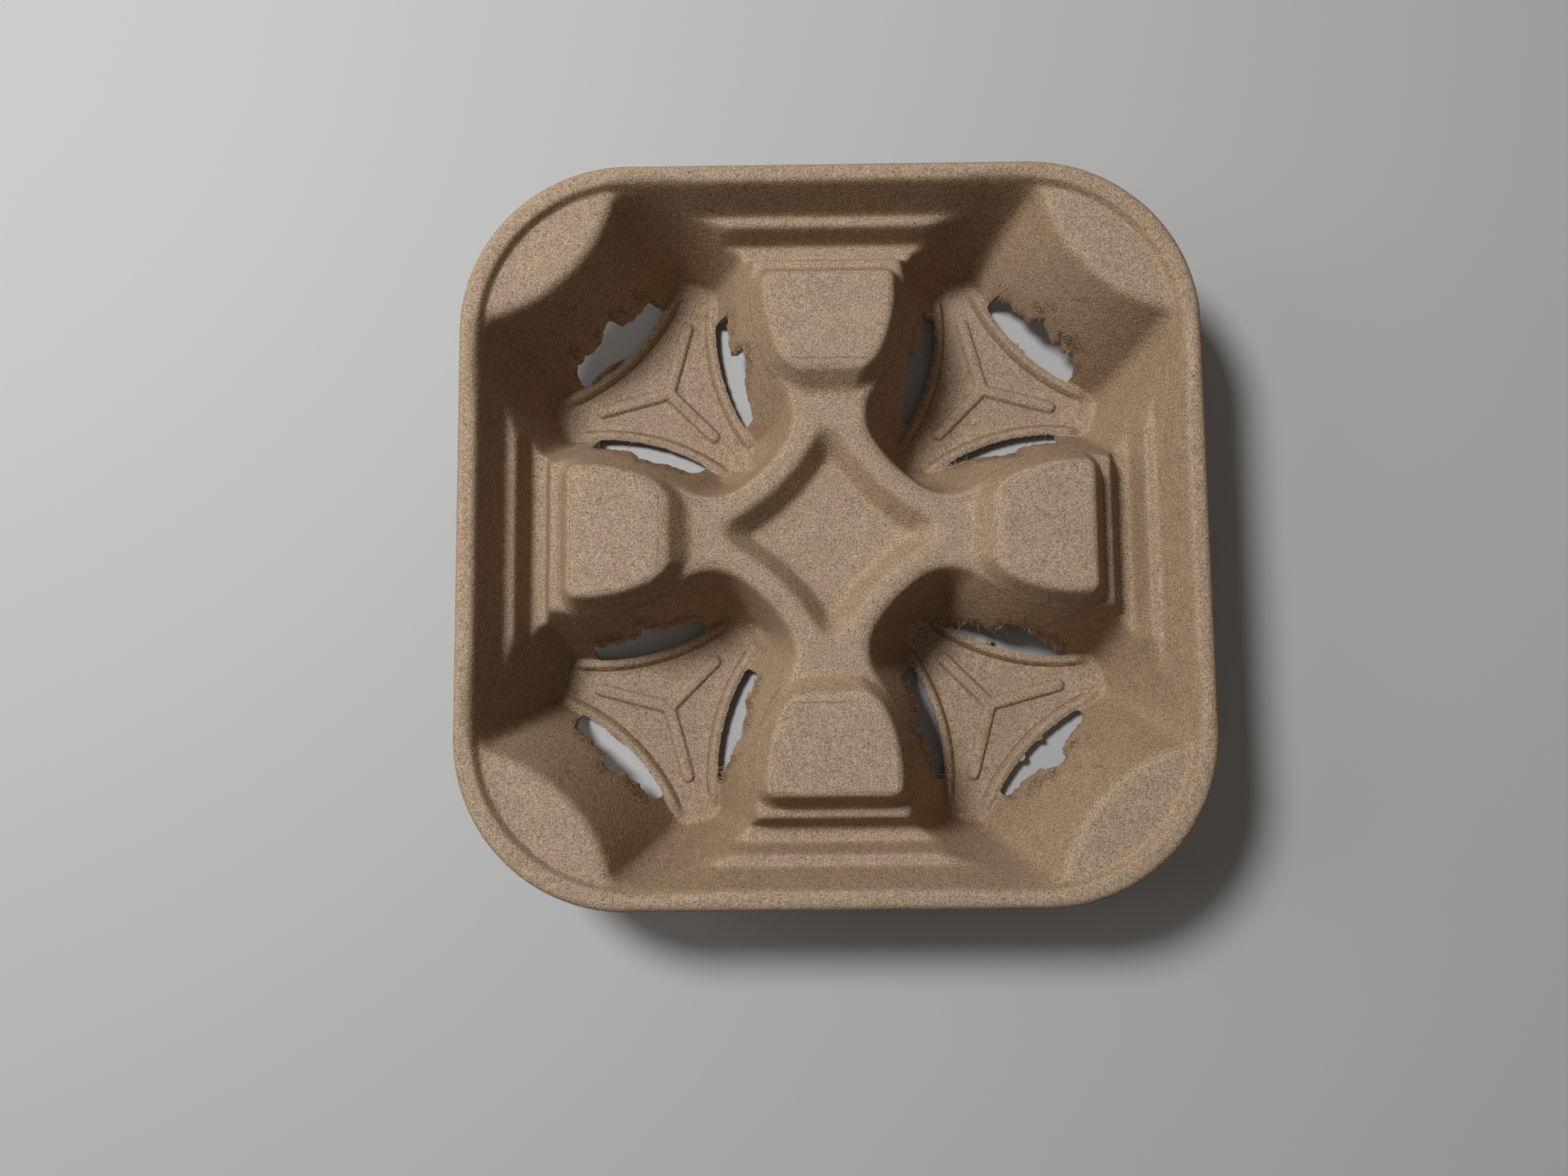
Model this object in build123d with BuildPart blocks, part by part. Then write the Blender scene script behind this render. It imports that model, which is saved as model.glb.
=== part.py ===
"""Moulded-pulp carrier for four cups.

One sheet of pulp pressed over a former: a square tray with a turned-down rim, four tapering wells for
the cups, a raised pad between each two wells, a stepped gutter behind each pad, a ledge in each corner and
a sunk diamond in the middle. Every form is a hollow that the former leaves, so each has one function with
the argument skin: at zero it gives the hollow over the sheet, and at the sheet's thickness the larger
hollow that the sheet's underside bounds. The sheet is what lies between the two. Lengths are millimetres,
angles are degrees, and the tray rests on its four well floors at Z = 0, with the origin in the middle.
"""

import os
from math import acos, atan, atan2, cos, degrees, radians, sin, sqrt, tan

from build123d import *

os.makedirs("parts", exist_ok=True)

# The sheet and the rim
sheet_thickness = 1.8
tray_width = 211
tray_corner_radius = 48
tray_height = 49
rim_width = 6.5
pan_corner_radius = 42.7
rim_skirt_height = 5.5
rim_outer_rounding = 2.6
rim_inner_rounding = 2.1
rim_draft = 20
rim_bite = 0.6

# Heights of the level faces above the table
floor_height = sheet_thickness
ledge_height = 46.3
pad_height = 44.5
platform_height = 36.8
recess_height = 28.5
gutter_step_height = 34.6
gutter_floor_height = 25.8

# The wells: reach is from the middle to a vertex, waist from the middle to a flank
well_spacing = 100
well_floor_reach = 36.5
well_floor_waist = 17.4
well_mouth_waist = 34.6
platform_mouth_reach = 45.6
flank_axis_distance = 80
platform_vertex_floor_rounding = 4
platform_vertex_mouth_rounding = 17
rim_vertex_rounding = 4.5
well_floor_rounding = 3
ledge_rounding = 4
pad_rounding = 3
platform_rounding = 4

# The platform inside the four pads, and the diamond sunk in it
platform_half_width = 42.6
pad_inner_edge = 46.4
recess_reach = 38
recess_waist = 20.5
recess_vertex_rounding = 5
recess_floor_reach = 32.5
recess_floor_waist = 15
recess_floor_vertex_rounding = 2.5
recess_rounding = 3

# The gutters behind the pads, symmetric about their own middle line
gutter_middle = 86.8
gutter_length = 96
gutter_mouth_half_width = 11.8
gutter_step_outer_half_width = 8.3
gutter_step_inner_half_width = 5
gutter_floor_half_width = 2.5
gutter_rounding = 2
gutter_step_rounding = 0.9

# Slots in the flanks' feet, the beads along them and the Y-shaped ribs on the well floors
slot_length = 35
slot_outer_radius = 62.3
slot_inner_radius = 57.9
notch_radius = 55.2
notch_width = 10
notch_tip_width = 3
bead_inner_radius = 61.6
bead_crest_radius = 63.2
bead_outer_radius = 65.6
bead_height = 2.4
bead_rounding = 3
bead_half_angle = 23
rib_width = 4
rib_height = 1.2
rib_platform_length = 22
rib_rim_length = 24
rib_draft = 30

# Working allowances
overlap = 1
pad_clearance_width = 60
rounding_steps = 2

# Worked out from the sizes above
half_width = tray_width / 2
pan_half_width = half_width - rim_width
well_offset = well_spacing / 2
well_distance = well_offset * sqrt(2)
rim_mouth_reach = pan_half_width + rim_bite - well_offset
well_depth = ledge_height - floor_height
well_draft = degrees(atan((well_mouth_waist - well_floor_waist) / well_depth))
platform_slope = (pad_inner_edge - platform_half_width) / (pad_height - platform_height)
platform_draft = degrees(atan(platform_slope))
pad_edge = gutter_middle - gutter_mouth_half_width


def polar(radius, angle):
    """Point at a radius and an angle about the origin."""
    return radius * cos(radians(angle)), radius * sin(radians(angle))


def heading(start, end):
    """Angle of the way from one point to another."""
    return degrees(atan2(end[1] - start[1], end[0] - start[0]))


def skin_swell(skin, draft):
    """How far an outline moves out at its own level face when the hollow grows by skin all round."""
    return skin * (1 - sin(radians(draft))) / cos(radians(draft))


def lip(rounding, draft, skin):
    """Arc that rounds the edge between a level face and the drafted wall below it, from the wall up.

    Args:
        rounding: radius on the upper face of the sheet.
        draft: the wall's angle from upright.
        skin: zero on the upper face. The underside's arc has the same centre and a smaller radius.

    Returns:
        (run, rise) pairs: outward and upward from the sharp edge.
    """
    radius = rounding - skin
    tangent = radius * tan(radians(90 - draft) / 2)
    arc = []
    for step in range(rounding_steps + 1):
        turn = radians(180 - draft - (90 - draft) * step / rounding_steps)
        arc.append((tangent + radius * cos(turn), radius * sin(turn) - radius))
    return arc


def foot(rounding, draft, skin):
    """Arc that rounds the corner between a drafted wall and the floor below it, from the floor up."""
    return [(-run, -rise) for run, rise in reversed(lip(rounding + 2 * skin, draft, skin))]


def well_outline(level, swell, height):
    """Outline of a well, about its own middle, with the tray's middle at 180 degrees.

    Three flanks bulge in between three vertices. All sizes run evenly from the floor to the mouth.

    Args:
        level: height at which the sizes are taken.
        swell: how far the outline is moved out from there.
        height: height at which the outline is drawn.
    """
    share = (level - floor_height) / well_depth
    waist = well_floor_waist + (well_mouth_waist - well_floor_waist) * share + swell
    rim_reach = well_floor_reach + (rim_mouth_reach - well_floor_reach) * share + swell
    platform_reach = well_floor_reach + (platform_mouth_reach - well_floor_reach) * share + swell
    platform_growth = platform_vertex_mouth_rounding - platform_vertex_floor_rounding
    platform_round = platform_vertex_floor_rounding + platform_growth * share + swell
    rim_round = rim_vertex_rounding + swell
    flank_radius = flank_axis_distance - waist

    def vertex_round(vertex, side):
        """Middle of the round beside a vertex, towards the flank on one side, and its angle."""
        angle, reach, radius = vertex
        inner = reach - radius
        outer = flank_radius + radius
        lean = acos((flank_axis_distance**2 + inner**2 - outer**2) / (2 * flank_axis_distance * inner))
        direction = angle + side * (60 - degrees(lean))
        return polar(inner, direction), direction

    vertices = [
        (-60, rim_reach, rim_round),
        (60, rim_reach, rim_round),
        (180, platform_reach, platform_round),
    ]
    with BuildSketch(Plane.XY.offset(height)) as outline:
        with BuildLine():
            for number, vertex in enumerate(vertices):
                angle, reach, radius = vertex
                flank_before = polar(flank_axis_distance, angle - 60)
                flank_after = polar(flank_axis_distance, angle + 60)
                round_before, way_before = vertex_round(vertex, -1)
                round_after, way_after = vertex_round(vertex, 1)
                round_next, _ = vertex_round(vertices[(number + 1) % len(vertices)], -1)
                from_flank = heading(round_before, flank_before)
                to_flank = heading(round_after, flank_after)
                flank_start = heading(flank_after, round_after)
                flank_end = heading(flank_after, round_next)
                CenterArc(round_before, radius, from_flank, (way_before - from_flank) % 360)
                CenterArc((0, 0), reach, way_before, way_after - way_before)
                CenterArc(round_after, radius, way_after, (to_flank - way_after) % 360)
                CenterArc(flank_after, flank_radius, flank_start, -((flank_start - flank_end) % 360))
        make_face()
    return outline.sketch


def well_hollow(skin):
    """One well from its rounded floor to a little above the ledge, about its own middle."""
    swell = skin_swell(skin, well_draft)
    with BuildPart() as hollow:
        for run, rise in foot(well_floor_rounding, well_draft, skin):
            add(well_outline(floor_height, run + swell, floor_height - skin + rise))
        add(well_outline(ledge_height + overlap, swell, ledge_height - skin + overlap))
        loft(ruled=True)
    return hollow.part


def well_lip(level, rounding):
    """Rounded mouth of a well in the level face at a height, about the well's own middle."""
    arc = lip(rounding, well_draft, 0)
    widest_run, _ = arc[-1]
    with BuildPart() as mouth:
        for run, rise in arc:
            add(well_outline(level, run, level + rise))
        add(well_outline(level, widest_run, level + overlap))
        loft(ruled=True)
    return mouth.part


def pan_hollow(skin):
    """Everything inside the rim above the corner ledges. The underside stays inside the rim's crown."""
    swell = skin_swell(skin, rim_draft)
    crown_run = (tray_height - ledge_height) * tan(radians(rim_draft))
    wall_top = tray_height - sheet_thickness / 2
    wall_run = (wall_top - ledge_height + skin) * tan(radians(rim_draft))
    sections = [(swell, ledge_height - skin)]
    if skin:
        sections.append((swell + wall_run, wall_top))
    else:
        for run, rise in lip(rim_inner_rounding, rim_draft, skin):
            sections.append((crown_run + run, tray_height + rise))
        sections.append((sections[-1][0], tray_height + overlap))
    with BuildPart() as hollow:
        for run, height in sections:
            with BuildSketch(Plane.XY.offset(height)):
                width = 2 * (pan_half_width + run)
                RectangleRounded(width, width, pan_corner_radius + run)
        loft(ruled=True)
    return hollow.part


def pad_clearance(skin):
    """Cross of free space over the four pads. Its edges run through the wells and the gutters."""
    with BuildPart() as hollow:
        with BuildSketch(Plane.XY.offset(pad_height - skin)):
            Rectangle(2 * gutter_middle, pad_clearance_width)
            Rectangle(pad_clearance_width, 2 * gutter_middle)
        extrude(amount=ledge_height - pad_height + overlap)
    return hollow.part


def platform_hollow(skin):
    """Space over the platform, walled by the inner sides of the pads. Its corners lie in the wells."""
    swell = skin_swell(skin, platform_draft)
    sections = []
    for run, rise in foot(pad_rounding, platform_draft, skin):
        sections.append((platform_half_width + run, platform_height + rise))
    for run, rise in lip(pad_rounding, platform_draft, skin):
        sections.append((pad_inner_edge + run, pad_height + rise))
    sections.append((sections[-1][0], pad_height + overlap))
    with BuildPart() as hollow:
        for half, height in sections:
            with BuildSketch(Plane.XY.offset(height - skin)):
                Rectangle(2 * (half + swell), 2 * (half + swell))
        loft(ruled=True)
    return hollow.part


def recess_outline(reach, waist, rounding, height):
    """Four-pointed outline with hollow sides: rounded points on the axes, waists on the diagonals."""
    with BuildSketch(Plane.XY.offset(height)) as outline:
        with BuildLine():
            for quarter in range(4):
                turn = 90 * quarter
                ThreePointArc(polar(reach, turn), polar(waist, turn + 45), polar(reach, turn + 90))
        make_face()
        fillet(outline.vertices(), rounding)
    return outline.sketch


def recess_hollow(skin):
    """The diamond sunk in the platform, with a rounded edge and a rounded foot."""
    wall_run = recess_waist - recess_floor_waist
    draft = degrees(atan(wall_run / (platform_height - recess_height)))
    swell = skin_swell(skin, draft)
    floor_sizes = (recess_floor_reach, recess_floor_waist, recess_floor_vertex_rounding)
    mouth_sizes = (recess_reach, recess_waist, recess_vertex_rounding)
    sections = []
    for run, rise in foot(recess_rounding, draft, skin):
        sections.append((*floor_sizes, run + swell, recess_height + rise))
    for run, rise in lip(recess_rounding, draft, skin):
        sections.append((*mouth_sizes, run + swell, platform_height + rise))
    sections.append((*mouth_sizes, sections[-1][3], platform_height + overlap))
    with BuildPart() as hollow:
        for reach, waist, rounding, run, height in sections:
            add(recess_outline(reach + run, waist + run, rounding, height - skin))
        loft(ruled=True)
    return hollow.part


def gutter_hollow(skin):
    """The stepped gutter behind the pad on the +Y side, its section run along X into the wells."""
    slope = (gutter_mouth_half_width - gutter_step_outer_half_width) / (pad_height - gutter_step_height)
    swell = skin_swell(skin, degrees(atan(slope)))
    top = ledge_height + overlap
    rim_side = gutter_middle + gutter_mouth_half_width + slope * (top - pad_height)
    pad_side = gutter_middle - 2 * gutter_mouth_half_width
    half_section = [
        (gutter_floor_half_width + swell, gutter_floor_height - skin),
        (gutter_step_inner_half_width + swell, gutter_step_height - skin),
        (gutter_step_outer_half_width + swell, gutter_step_height - skin),
    ]
    with BuildPart() as hollow:
        with BuildSketch(Plane.YZ) as section:
            with BuildLine():
                Polyline(
                    (rim_side + swell, top - skin),
                    *[(gutter_middle + half, height) for half, height in reversed(half_section)],
                    *[(gutter_middle - half, height) for half, height in half_section],
                    (pad_edge - swell, pad_height - skin),
                    (pad_side, pad_height - skin),
                    (pad_side, top - skin),
                    close=True,
                )
            make_face()
            floor_corners, step_corners, pad_corners = section.vertices().group_by(Axis.Y)[:3]
            fillet(floor_corners, gutter_rounding + skin)
            fillet(pad_corners.sort_by(Axis.X)[-1], pad_rounding - skin)
            if not skin:
                fillet(step_corners, gutter_step_rounding)
        extrude(amount=gutter_length / 2, both=True)
    return hollow.part


def mouth_lips():
    """Rounded mouths of the four wells on the ledges, the pads and the platform.

    Each is kept to its own level face. Only the upper face has them: under the sheet the same edges are
    hollow corners and stay sharp.
    """
    pan_width = 2 * pan_half_width
    platform_width = 2 * platform_half_width
    with BuildPart() as ledge_lips:
        with PolarLocations(well_distance, 4, start_angle=45):
            add(well_lip(ledge_height, ledge_rounding))
        with BuildSketch():
            RectangleRounded(pan_width, pan_width, pan_corner_radius)
        extrude(amount=tray_height, mode=Mode.INTERSECT)
    with BuildPart() as pad_lips:
        with PolarLocations(well_distance, 4, start_angle=45):
            add(well_lip(pad_height, pad_rounding))
        with BuildSketch():
            Rectangle(2 * gutter_middle, pad_clearance_width)
            Rectangle(pad_clearance_width, 2 * gutter_middle)
        extrude(amount=tray_height, mode=Mode.INTERSECT)
    with BuildPart() as platform_lips:
        with PolarLocations(well_distance, 4, start_angle=45):
            add(well_lip(platform_height, platform_rounding))
        with BuildSketch():
            Rectangle(platform_width, platform_width)
        extrude(amount=tray_height, mode=Mode.INTERSECT)
    with BuildPart() as lips:
        add(ledge_lips.part)
        add(pad_lips.part)
        add(platform_lips.part)
    return lips.part


def hollow_over_sheet(skin):
    """All hollows of one face of the sheet together."""
    with BuildPart() as whole:
        add(pan_hollow(skin))
        add(pad_clearance(skin))
        add(platform_hollow(skin))
        add(recess_hollow(skin))
        with PolarLocations(0, 4):
            add(gutter_hollow(skin))
        with PolarLocations(well_distance, 4, start_angle=45):
            add(well_hollow(skin))
        if not skin:
            add(mouth_lips())
    return whole.part


with BuildPart() as rim:
    with BuildSketch(Plane.XY.offset(tray_height - rim_skirt_height)):
        RectangleRounded(tray_width, tray_width, tray_corner_radius)
    extrude(amount=rim_skirt_height)
    fillet(rim.faces().sort_by(Axis.Z)[-1].edges(), rim_outer_rounding)
    with BuildSketch(Plane.XY.offset(tray_height - rim_skirt_height)):
        inner_width = tray_width - 2 * sheet_thickness
        RectangleRounded(inner_width, inner_width, tray_corner_radius - sheet_thickness)
    extrude(amount=rim_skirt_height - sheet_thickness, mode=Mode.SUBTRACT)

with BuildPart() as bead:
    with BuildSketch(Plane.XZ):
        with BuildLine():
            Polyline(
                (bead_outer_radius, floor_height),
                (bead_outer_radius, floor_height - sheet_thickness / 4),
                (bead_inner_radius, floor_height - sheet_thickness / 4),
                (bead_inner_radius, floor_height + bead_height),
                (bead_crest_radius, floor_height + bead_height),
            )
            RadiusArc(
                (bead_crest_radius, floor_height + bead_height),
                (bead_outer_radius, floor_height),
                bead_rounding,
            )
        make_face()
    revolve(axis=Axis.Z, revolution_arc=2 * bead_half_angle)

with BuildPart() as slot:
    with BuildSketch():
        slot_width = slot_outer_radius - slot_inner_radius
        middle_radius = slot_inner_radius + slot_width / 2
        sweep = degrees((slot_length - slot_width) / middle_radius)
        SlotArc(CenterArc((0, 0), middle_radius, -sweep / 2, sweep), slot_width)
        with BuildLine():
            Polyline(
                (middle_radius, notch_width / 2),
                (slot_inner_radius, notch_width / 2),
                (notch_radius, notch_tip_width / 2),
                (notch_radius, -notch_tip_width / 2),
                (slot_inner_radius, -notch_width / 2),
                (middle_radius, -notch_width / 2),
                close=True,
            )
        make_face()
    extrude(amount=gutter_step_height)

with BuildPart() as well_rises:
    with BuildSketch(Plane.XY.offset(floor_height)):
        arms = ((180, rib_platform_length), (60, rib_rim_length), (-60, rib_rim_length))
        for arm_angle, arm_length in arms:
            spine = arm_length - rib_width / 2
            with Locations(Pos(*polar(spine / 2, arm_angle))):
                SlotCenterToCenter(spine, rib_width, rotation=arm_angle)
    extrude(amount=rib_height, taper=rib_draft)
    for flank_angle in (0, 120, 240):
        bead_start = Rot(Z=flank_angle + 180 - bead_half_angle)
        with Locations(Pos(*polar(flank_axis_distance, flank_angle)) * bead_start):
            add(bead.part)

with BuildPart() as well_cuts:
    for flank_angle in (0, 120, 240):
        with Locations(Pos(*polar(flank_axis_distance, flank_angle)) * Rot(Z=flank_angle + 180)):
            add(slot.part)

with BuildPart() as cup_carrier:
    add(rim.part)
    add(hollow_over_sheet(sheet_thickness))
    add(hollow_over_sheet(0), mode=Mode.SUBTRACT)
    with PolarLocations(well_distance, 4, start_angle=45):
        add(well_rises.part)
    with PolarLocations(well_distance, 4, start_angle=45):
        add(well_cuts.part, mode=Mode.SUBTRACT)

cup_carrier.part.label = "cup_carrier"
export_step(cup_carrier.part, "parts/cup_carrier.step")
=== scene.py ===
"""Moulded-pulp carrier for four cups, dressed and lit for a studio picture.

The sheet of pulp is one mesh: a square grid of points is laid over the tray, pulled onto the torn outlines
of the slots and onto the trimmed edge of the rim, lifted to the height of the pressed form, and closed by an
underside one sheet's thickness below. The form is the CAD model's, with softer edges, gentler inner walls on
the pads and each slot's own tear. Sizes are millimetres in the tray's frame (origin under its middle, Z up)
until a mesh is made, which is in metres.
"""

import logging
import math
from collections.abc import Iterator
from dataclasses import dataclass
from enum import Enum

import bpy
import numpy as np
from mathutils import Matrix, Vector

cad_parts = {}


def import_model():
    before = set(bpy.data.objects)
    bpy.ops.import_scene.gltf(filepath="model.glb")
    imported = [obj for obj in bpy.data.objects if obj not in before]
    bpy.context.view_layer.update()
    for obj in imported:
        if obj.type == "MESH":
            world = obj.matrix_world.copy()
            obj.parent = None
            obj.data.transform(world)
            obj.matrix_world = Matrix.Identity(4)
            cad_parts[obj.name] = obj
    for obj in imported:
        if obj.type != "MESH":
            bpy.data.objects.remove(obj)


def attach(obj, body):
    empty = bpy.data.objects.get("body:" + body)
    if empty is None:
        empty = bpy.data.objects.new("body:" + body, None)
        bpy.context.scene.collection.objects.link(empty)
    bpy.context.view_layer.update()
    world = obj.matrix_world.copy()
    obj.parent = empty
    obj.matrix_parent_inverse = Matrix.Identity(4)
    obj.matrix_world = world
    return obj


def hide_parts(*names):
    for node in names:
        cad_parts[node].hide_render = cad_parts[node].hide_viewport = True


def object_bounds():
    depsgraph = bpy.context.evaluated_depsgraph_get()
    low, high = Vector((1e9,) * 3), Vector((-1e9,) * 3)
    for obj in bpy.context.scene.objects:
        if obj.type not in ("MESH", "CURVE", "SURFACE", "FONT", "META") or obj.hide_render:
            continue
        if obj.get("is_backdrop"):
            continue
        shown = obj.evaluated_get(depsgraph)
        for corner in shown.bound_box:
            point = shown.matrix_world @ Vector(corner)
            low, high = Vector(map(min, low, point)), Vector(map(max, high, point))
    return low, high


log = logging.getLogger("cup_carrier")

METRES = 0.001
FAR = 99.0
BEAD_LINE = 0.1
WAVE_SPREAD = (0.6, 1.7)

Array = np.ndarray
Arrays = tuple[Array, Array]
Pair = tuple[float, float]
Triple = tuple[float, float, float]
Wave = tuple[float, float, int]
Colour = tuple[float, float, float, float]
Object = bpy.types.Object
Material = bpy.types.Material
Node = bpy.types.Node
Socket = bpy.types.NodeSocket
Value = Socket | float | tuple


class Flank(Enum):
    """The three flanks of a well, by the angle of their axis from the well's middle, first quadrant."""

    CORNER = 45
    BACK_PAD = 165
    SIDE_PAD = 285


class Quarter(Enum):
    """The four wells, by the signs of their X and Y."""

    LEFT_BACK = (-1, 1)
    RIGHT_BACK = (1, 1)
    LEFT_FRONT = (-1, -1)
    RIGHT_FRONT = (1, -1)


class Breaks(Enum):
    """How a crease is broken up: not at all, by a noise of its own, or by the pulp's rosy patches."""

    WHOLE = "whole"
    BROKEN = "broken"
    PATCHY = "patchy"


def ripple(x: Array, y: Array, length: float, seed: int, waves: int = 9) -> Array:
    """Smooth random relief: the sum of plane sine waves in random directions, of about one wavelength.

    Args:
        x: abscissas of the points.
        y: ordinates of the points.
        length: typical wavelength.
        seed: number of the random pattern.
        waves: how many waves are added.

    Returns:
        Values of about unit spread, in the shape of x.
    """
    chance = np.random.default_rng(seed)
    heading = chance.uniform(0, 2 * np.pi, waves)
    number = 2 * np.pi / (length * chance.uniform(*WAVE_SPREAD, waves))
    phase = chance.uniform(0, 2 * np.pi, waves)
    total = np.zeros_like(x)
    for angle, wave, shift in zip(heading, number, phase):
        total += np.sin(wave * (np.cos(angle) * x + np.sin(angle) * y) + shift)
    return total * math.sqrt(2 / waves)


def profile(run: Array, corners: list[Triple], steps: int = 8) -> Array:
    """Heights of a section line with rounded corners.

    At each corner the two legs are joined by an arc of the corner's radius, which touches the legs at
    radius times tan(half the turn) from the corner.

    Args:
        run: distances along the section at which the heights are taken.
        corners: (run, height, radius) of each corner, with the run rising.
        steps: chords of each arc.

    Returns:
        Heights, in the shape of run.
    """
    points = np.array([corner[:2] for corner in corners], float)
    line = [points[:1]]
    for before, here, after, corner in zip(points, points[1:], points[2:], corners[1:]):
        into = (here - before) / np.linalg.norm(here - before)
        out = (after - here) / np.linalg.norm(after - here)
        turn = math.acos(float(np.clip(into @ out, -1, 1)))
        angle = np.linspace(-turn / 2, turn / 2, steps + 1)[:, None]
        across = (out - into) / np.linalg.norm(out - into)
        along = (out + into) / np.linalg.norm(out + into)
        middle = here + across * corner[2] / math.cos(turn / 2)
        line.append(middle + corner[2] * (along * np.sin(angle) - across * np.cos(angle)))
    line.append(points[-1:])
    joined = np.concatenate(line)
    return np.interp(run, joined[:, 0], joined[:, 1])


def rounded_square(x: Array, y: Array, half: float, corner: float) -> tuple[Array, Array, Array]:
    """Distance outward from a square with rounded corners, and the direction straight out of it.

    Args:
        x: abscissas.
        y: ordinates.
        half: half the square's width.
        corner: radius of its corners.

    Returns:
        Signed distance, and the two parts of the unit vector along which it grows fastest.
    """
    core = half - corner
    over_x, over_y = np.abs(x) - core, np.abs(y) - core
    out_x, out_y = np.maximum(over_x, 0), np.maximum(over_y, 0)
    past = np.hypot(out_x, out_y)
    flat = np.where(over_x > over_y, 1.0, 0.0)
    way_x = np.where(past > 0, out_x / np.maximum(past, 1e-9), flat)
    way_y = np.where(past > 0, out_y / np.maximum(past, 1e-9), 1 - flat)
    distance = past + np.minimum(np.maximum(over_x, over_y), 0) - corner
    return distance, way_x * np.sign(x), way_y * np.sign(y)


@dataclass(frozen=True)
class WellForm:
    """One cup well: a three-pointed star outline that widens evenly from the floor to the mouth.

    Each of the three flanks is part of a circle about an axis outside the well, the three vertices are parts
    of a circle about the well's middle, and a round joins each vertex to each flank. The bead's section and
    its ends are (run, height as a share of the bead's, corner radius), the section's runs from the foot.
    """

    middle: float = 50.0
    floor: float = 1.8
    mouth: float = 46.3
    floor_reach: float = 36.5
    rim_reach: float = 49.6
    platform_reach: float = 45.6
    floor_waist: float = 17.4
    mouth_waist: float = 34.6
    axis_distance: float = 80.0
    rim_round: float = 4.5
    platform_floor_round: float = 4.0
    platform_mouth_round: float = 17.0
    foot_round: float = 3.0
    draft_range: Pair = (0.15, 0.6)
    wall_margins: Pair = (5.0, 14.0)
    rib_height: float = 1.2
    rib_half_width: float = 2.0
    rib_lengths: Pair = (22.0, 24.0)
    rib_lead: float = 0.15
    rib_ramp: float = 0.95
    bead_height: float = 2.3
    bead_half_angle: float = 0.45
    bead_fade: float = 0.11
    bead_foot: float = 65.6
    bead_start: float = 57.0
    bead_section: tuple[Triple, ...] = (
        (-3.3, 0.8, 1.0),
        (-2.0, 1.05, 1.0),
        (-1.0, 0.9, 0.6),
        (0.0, 0.0, 0.3),
    )
    bead_ends: tuple[Triple, Triple] = ((58.0, 0.6, 0.0), (90.0, 0.0, 0.0))

    def local(self, x: Array, y: Array) -> Arrays:
        """Polar place about the middle of the nearest well, folded by symmetry.

        Args:
            x: abscissas in the tray.
            y: ordinates in the tray.

        Returns:
            Radius, and angle from the diagonal that points out of the tray, from 0 to pi.
        """
        right, back = np.abs(x) - self.middle, np.abs(y) - self.middle
        return np.hypot(right, back), np.abs(np.arctan2(back - right, back + right))

    def vertex_place(self, radius: Array, angle: Array) -> tuple[Array, Array, Array, Array]:
        """Places seen from the nearest vertex of the star.

        Args:
            radius: distance from the well's middle.
            angle: folded angle from the outward diagonal.

        Returns:
            Whether the vertex is at the rim, the angle from it, and the distances along it and aside of it.
        """
        at_rim = angle < 2 * np.pi / 3
        off = np.where(at_rim, np.abs(angle - np.pi / 3), np.pi - angle)
        return at_rim, off, radius * np.cos(off), radius * np.sin(off)

    def flank_axis(self) -> Pair:
        """Place of a flank's axis, along its vertex and aside of it."""
        turn = math.pi / 3
        return self.axis_distance * math.cos(turn), self.axis_distance * math.sin(turn)

    def outline_distance(self, radius: Array, angle: Array, level: Array) -> Array:
        """Distance outward from the star outline at a level.

        The normals of the outline part the plane: between the two rounds of a vertex the distance is taken
        from the vertex circle, beside it from the round, and past the line from the flank's axis to the
        round's middle from the flank circle.

        Args:
            radius: distance from the well's middle.
            angle: folded angle from the outward diagonal.
            level: height at which the outline is taken.

        Returns:
            Signed distance, positive outside the well.
        """
        share = (level - self.floor) / (self.mouth - self.floor)
        at_rim, off, px, py = self.vertex_place(radius, angle)
        widest = np.where(at_rim, self.rim_reach, self.platform_reach)
        reach = self.floor_reach + (widest - self.floor_reach) * share
        growth = self.platform_mouth_round - self.platform_floor_round
        rounding = np.where(at_rim, self.rim_round, self.platform_floor_round + growth * share)
        flank_radius = self.axis_distance - self.floor_waist - (self.mouth_waist - self.floor_waist) * share
        inner, outer = reach - rounding, flank_radius + rounding
        cosine = (self.axis_distance**2 + inner**2 - outer**2) / (2 * self.axis_distance * inner)
        turn = np.pi / 3 - np.arccos(np.clip(cosine, -1, 1))
        cx, cy = inner * np.cos(turn), inner * np.sin(turn)
        fx, fy = self.flank_axis()
        beside = (cx - fx) * (py - fy) - (cy - fy) * (px - fx) > 0
        from_round = np.hypot(px - cx, py - cy) - rounding
        from_flank = flank_radius - np.hypot(px - fx, py - fy)
        return np.where(off <= turn, radius - reach, np.where(beside, from_round, from_flank))

    def slope(self, radius: Array, angle: Array, level: Array) -> Array:
        """How far the outline moves out for each unit of height: the tangent of the wall's draft.

        Args:
            radius: distance from the well's middle.
            angle: folded angle from the outward diagonal.
            level: heights at which the outline is taken.

        Returns:
            Tangents of the draft.
        """
        half = 0.5
        above = self.outline_distance(radius, angle, level + half)
        below = self.outline_distance(radius, angle, level - half)
        return np.clip(below - above, *self.draft_range)

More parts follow.
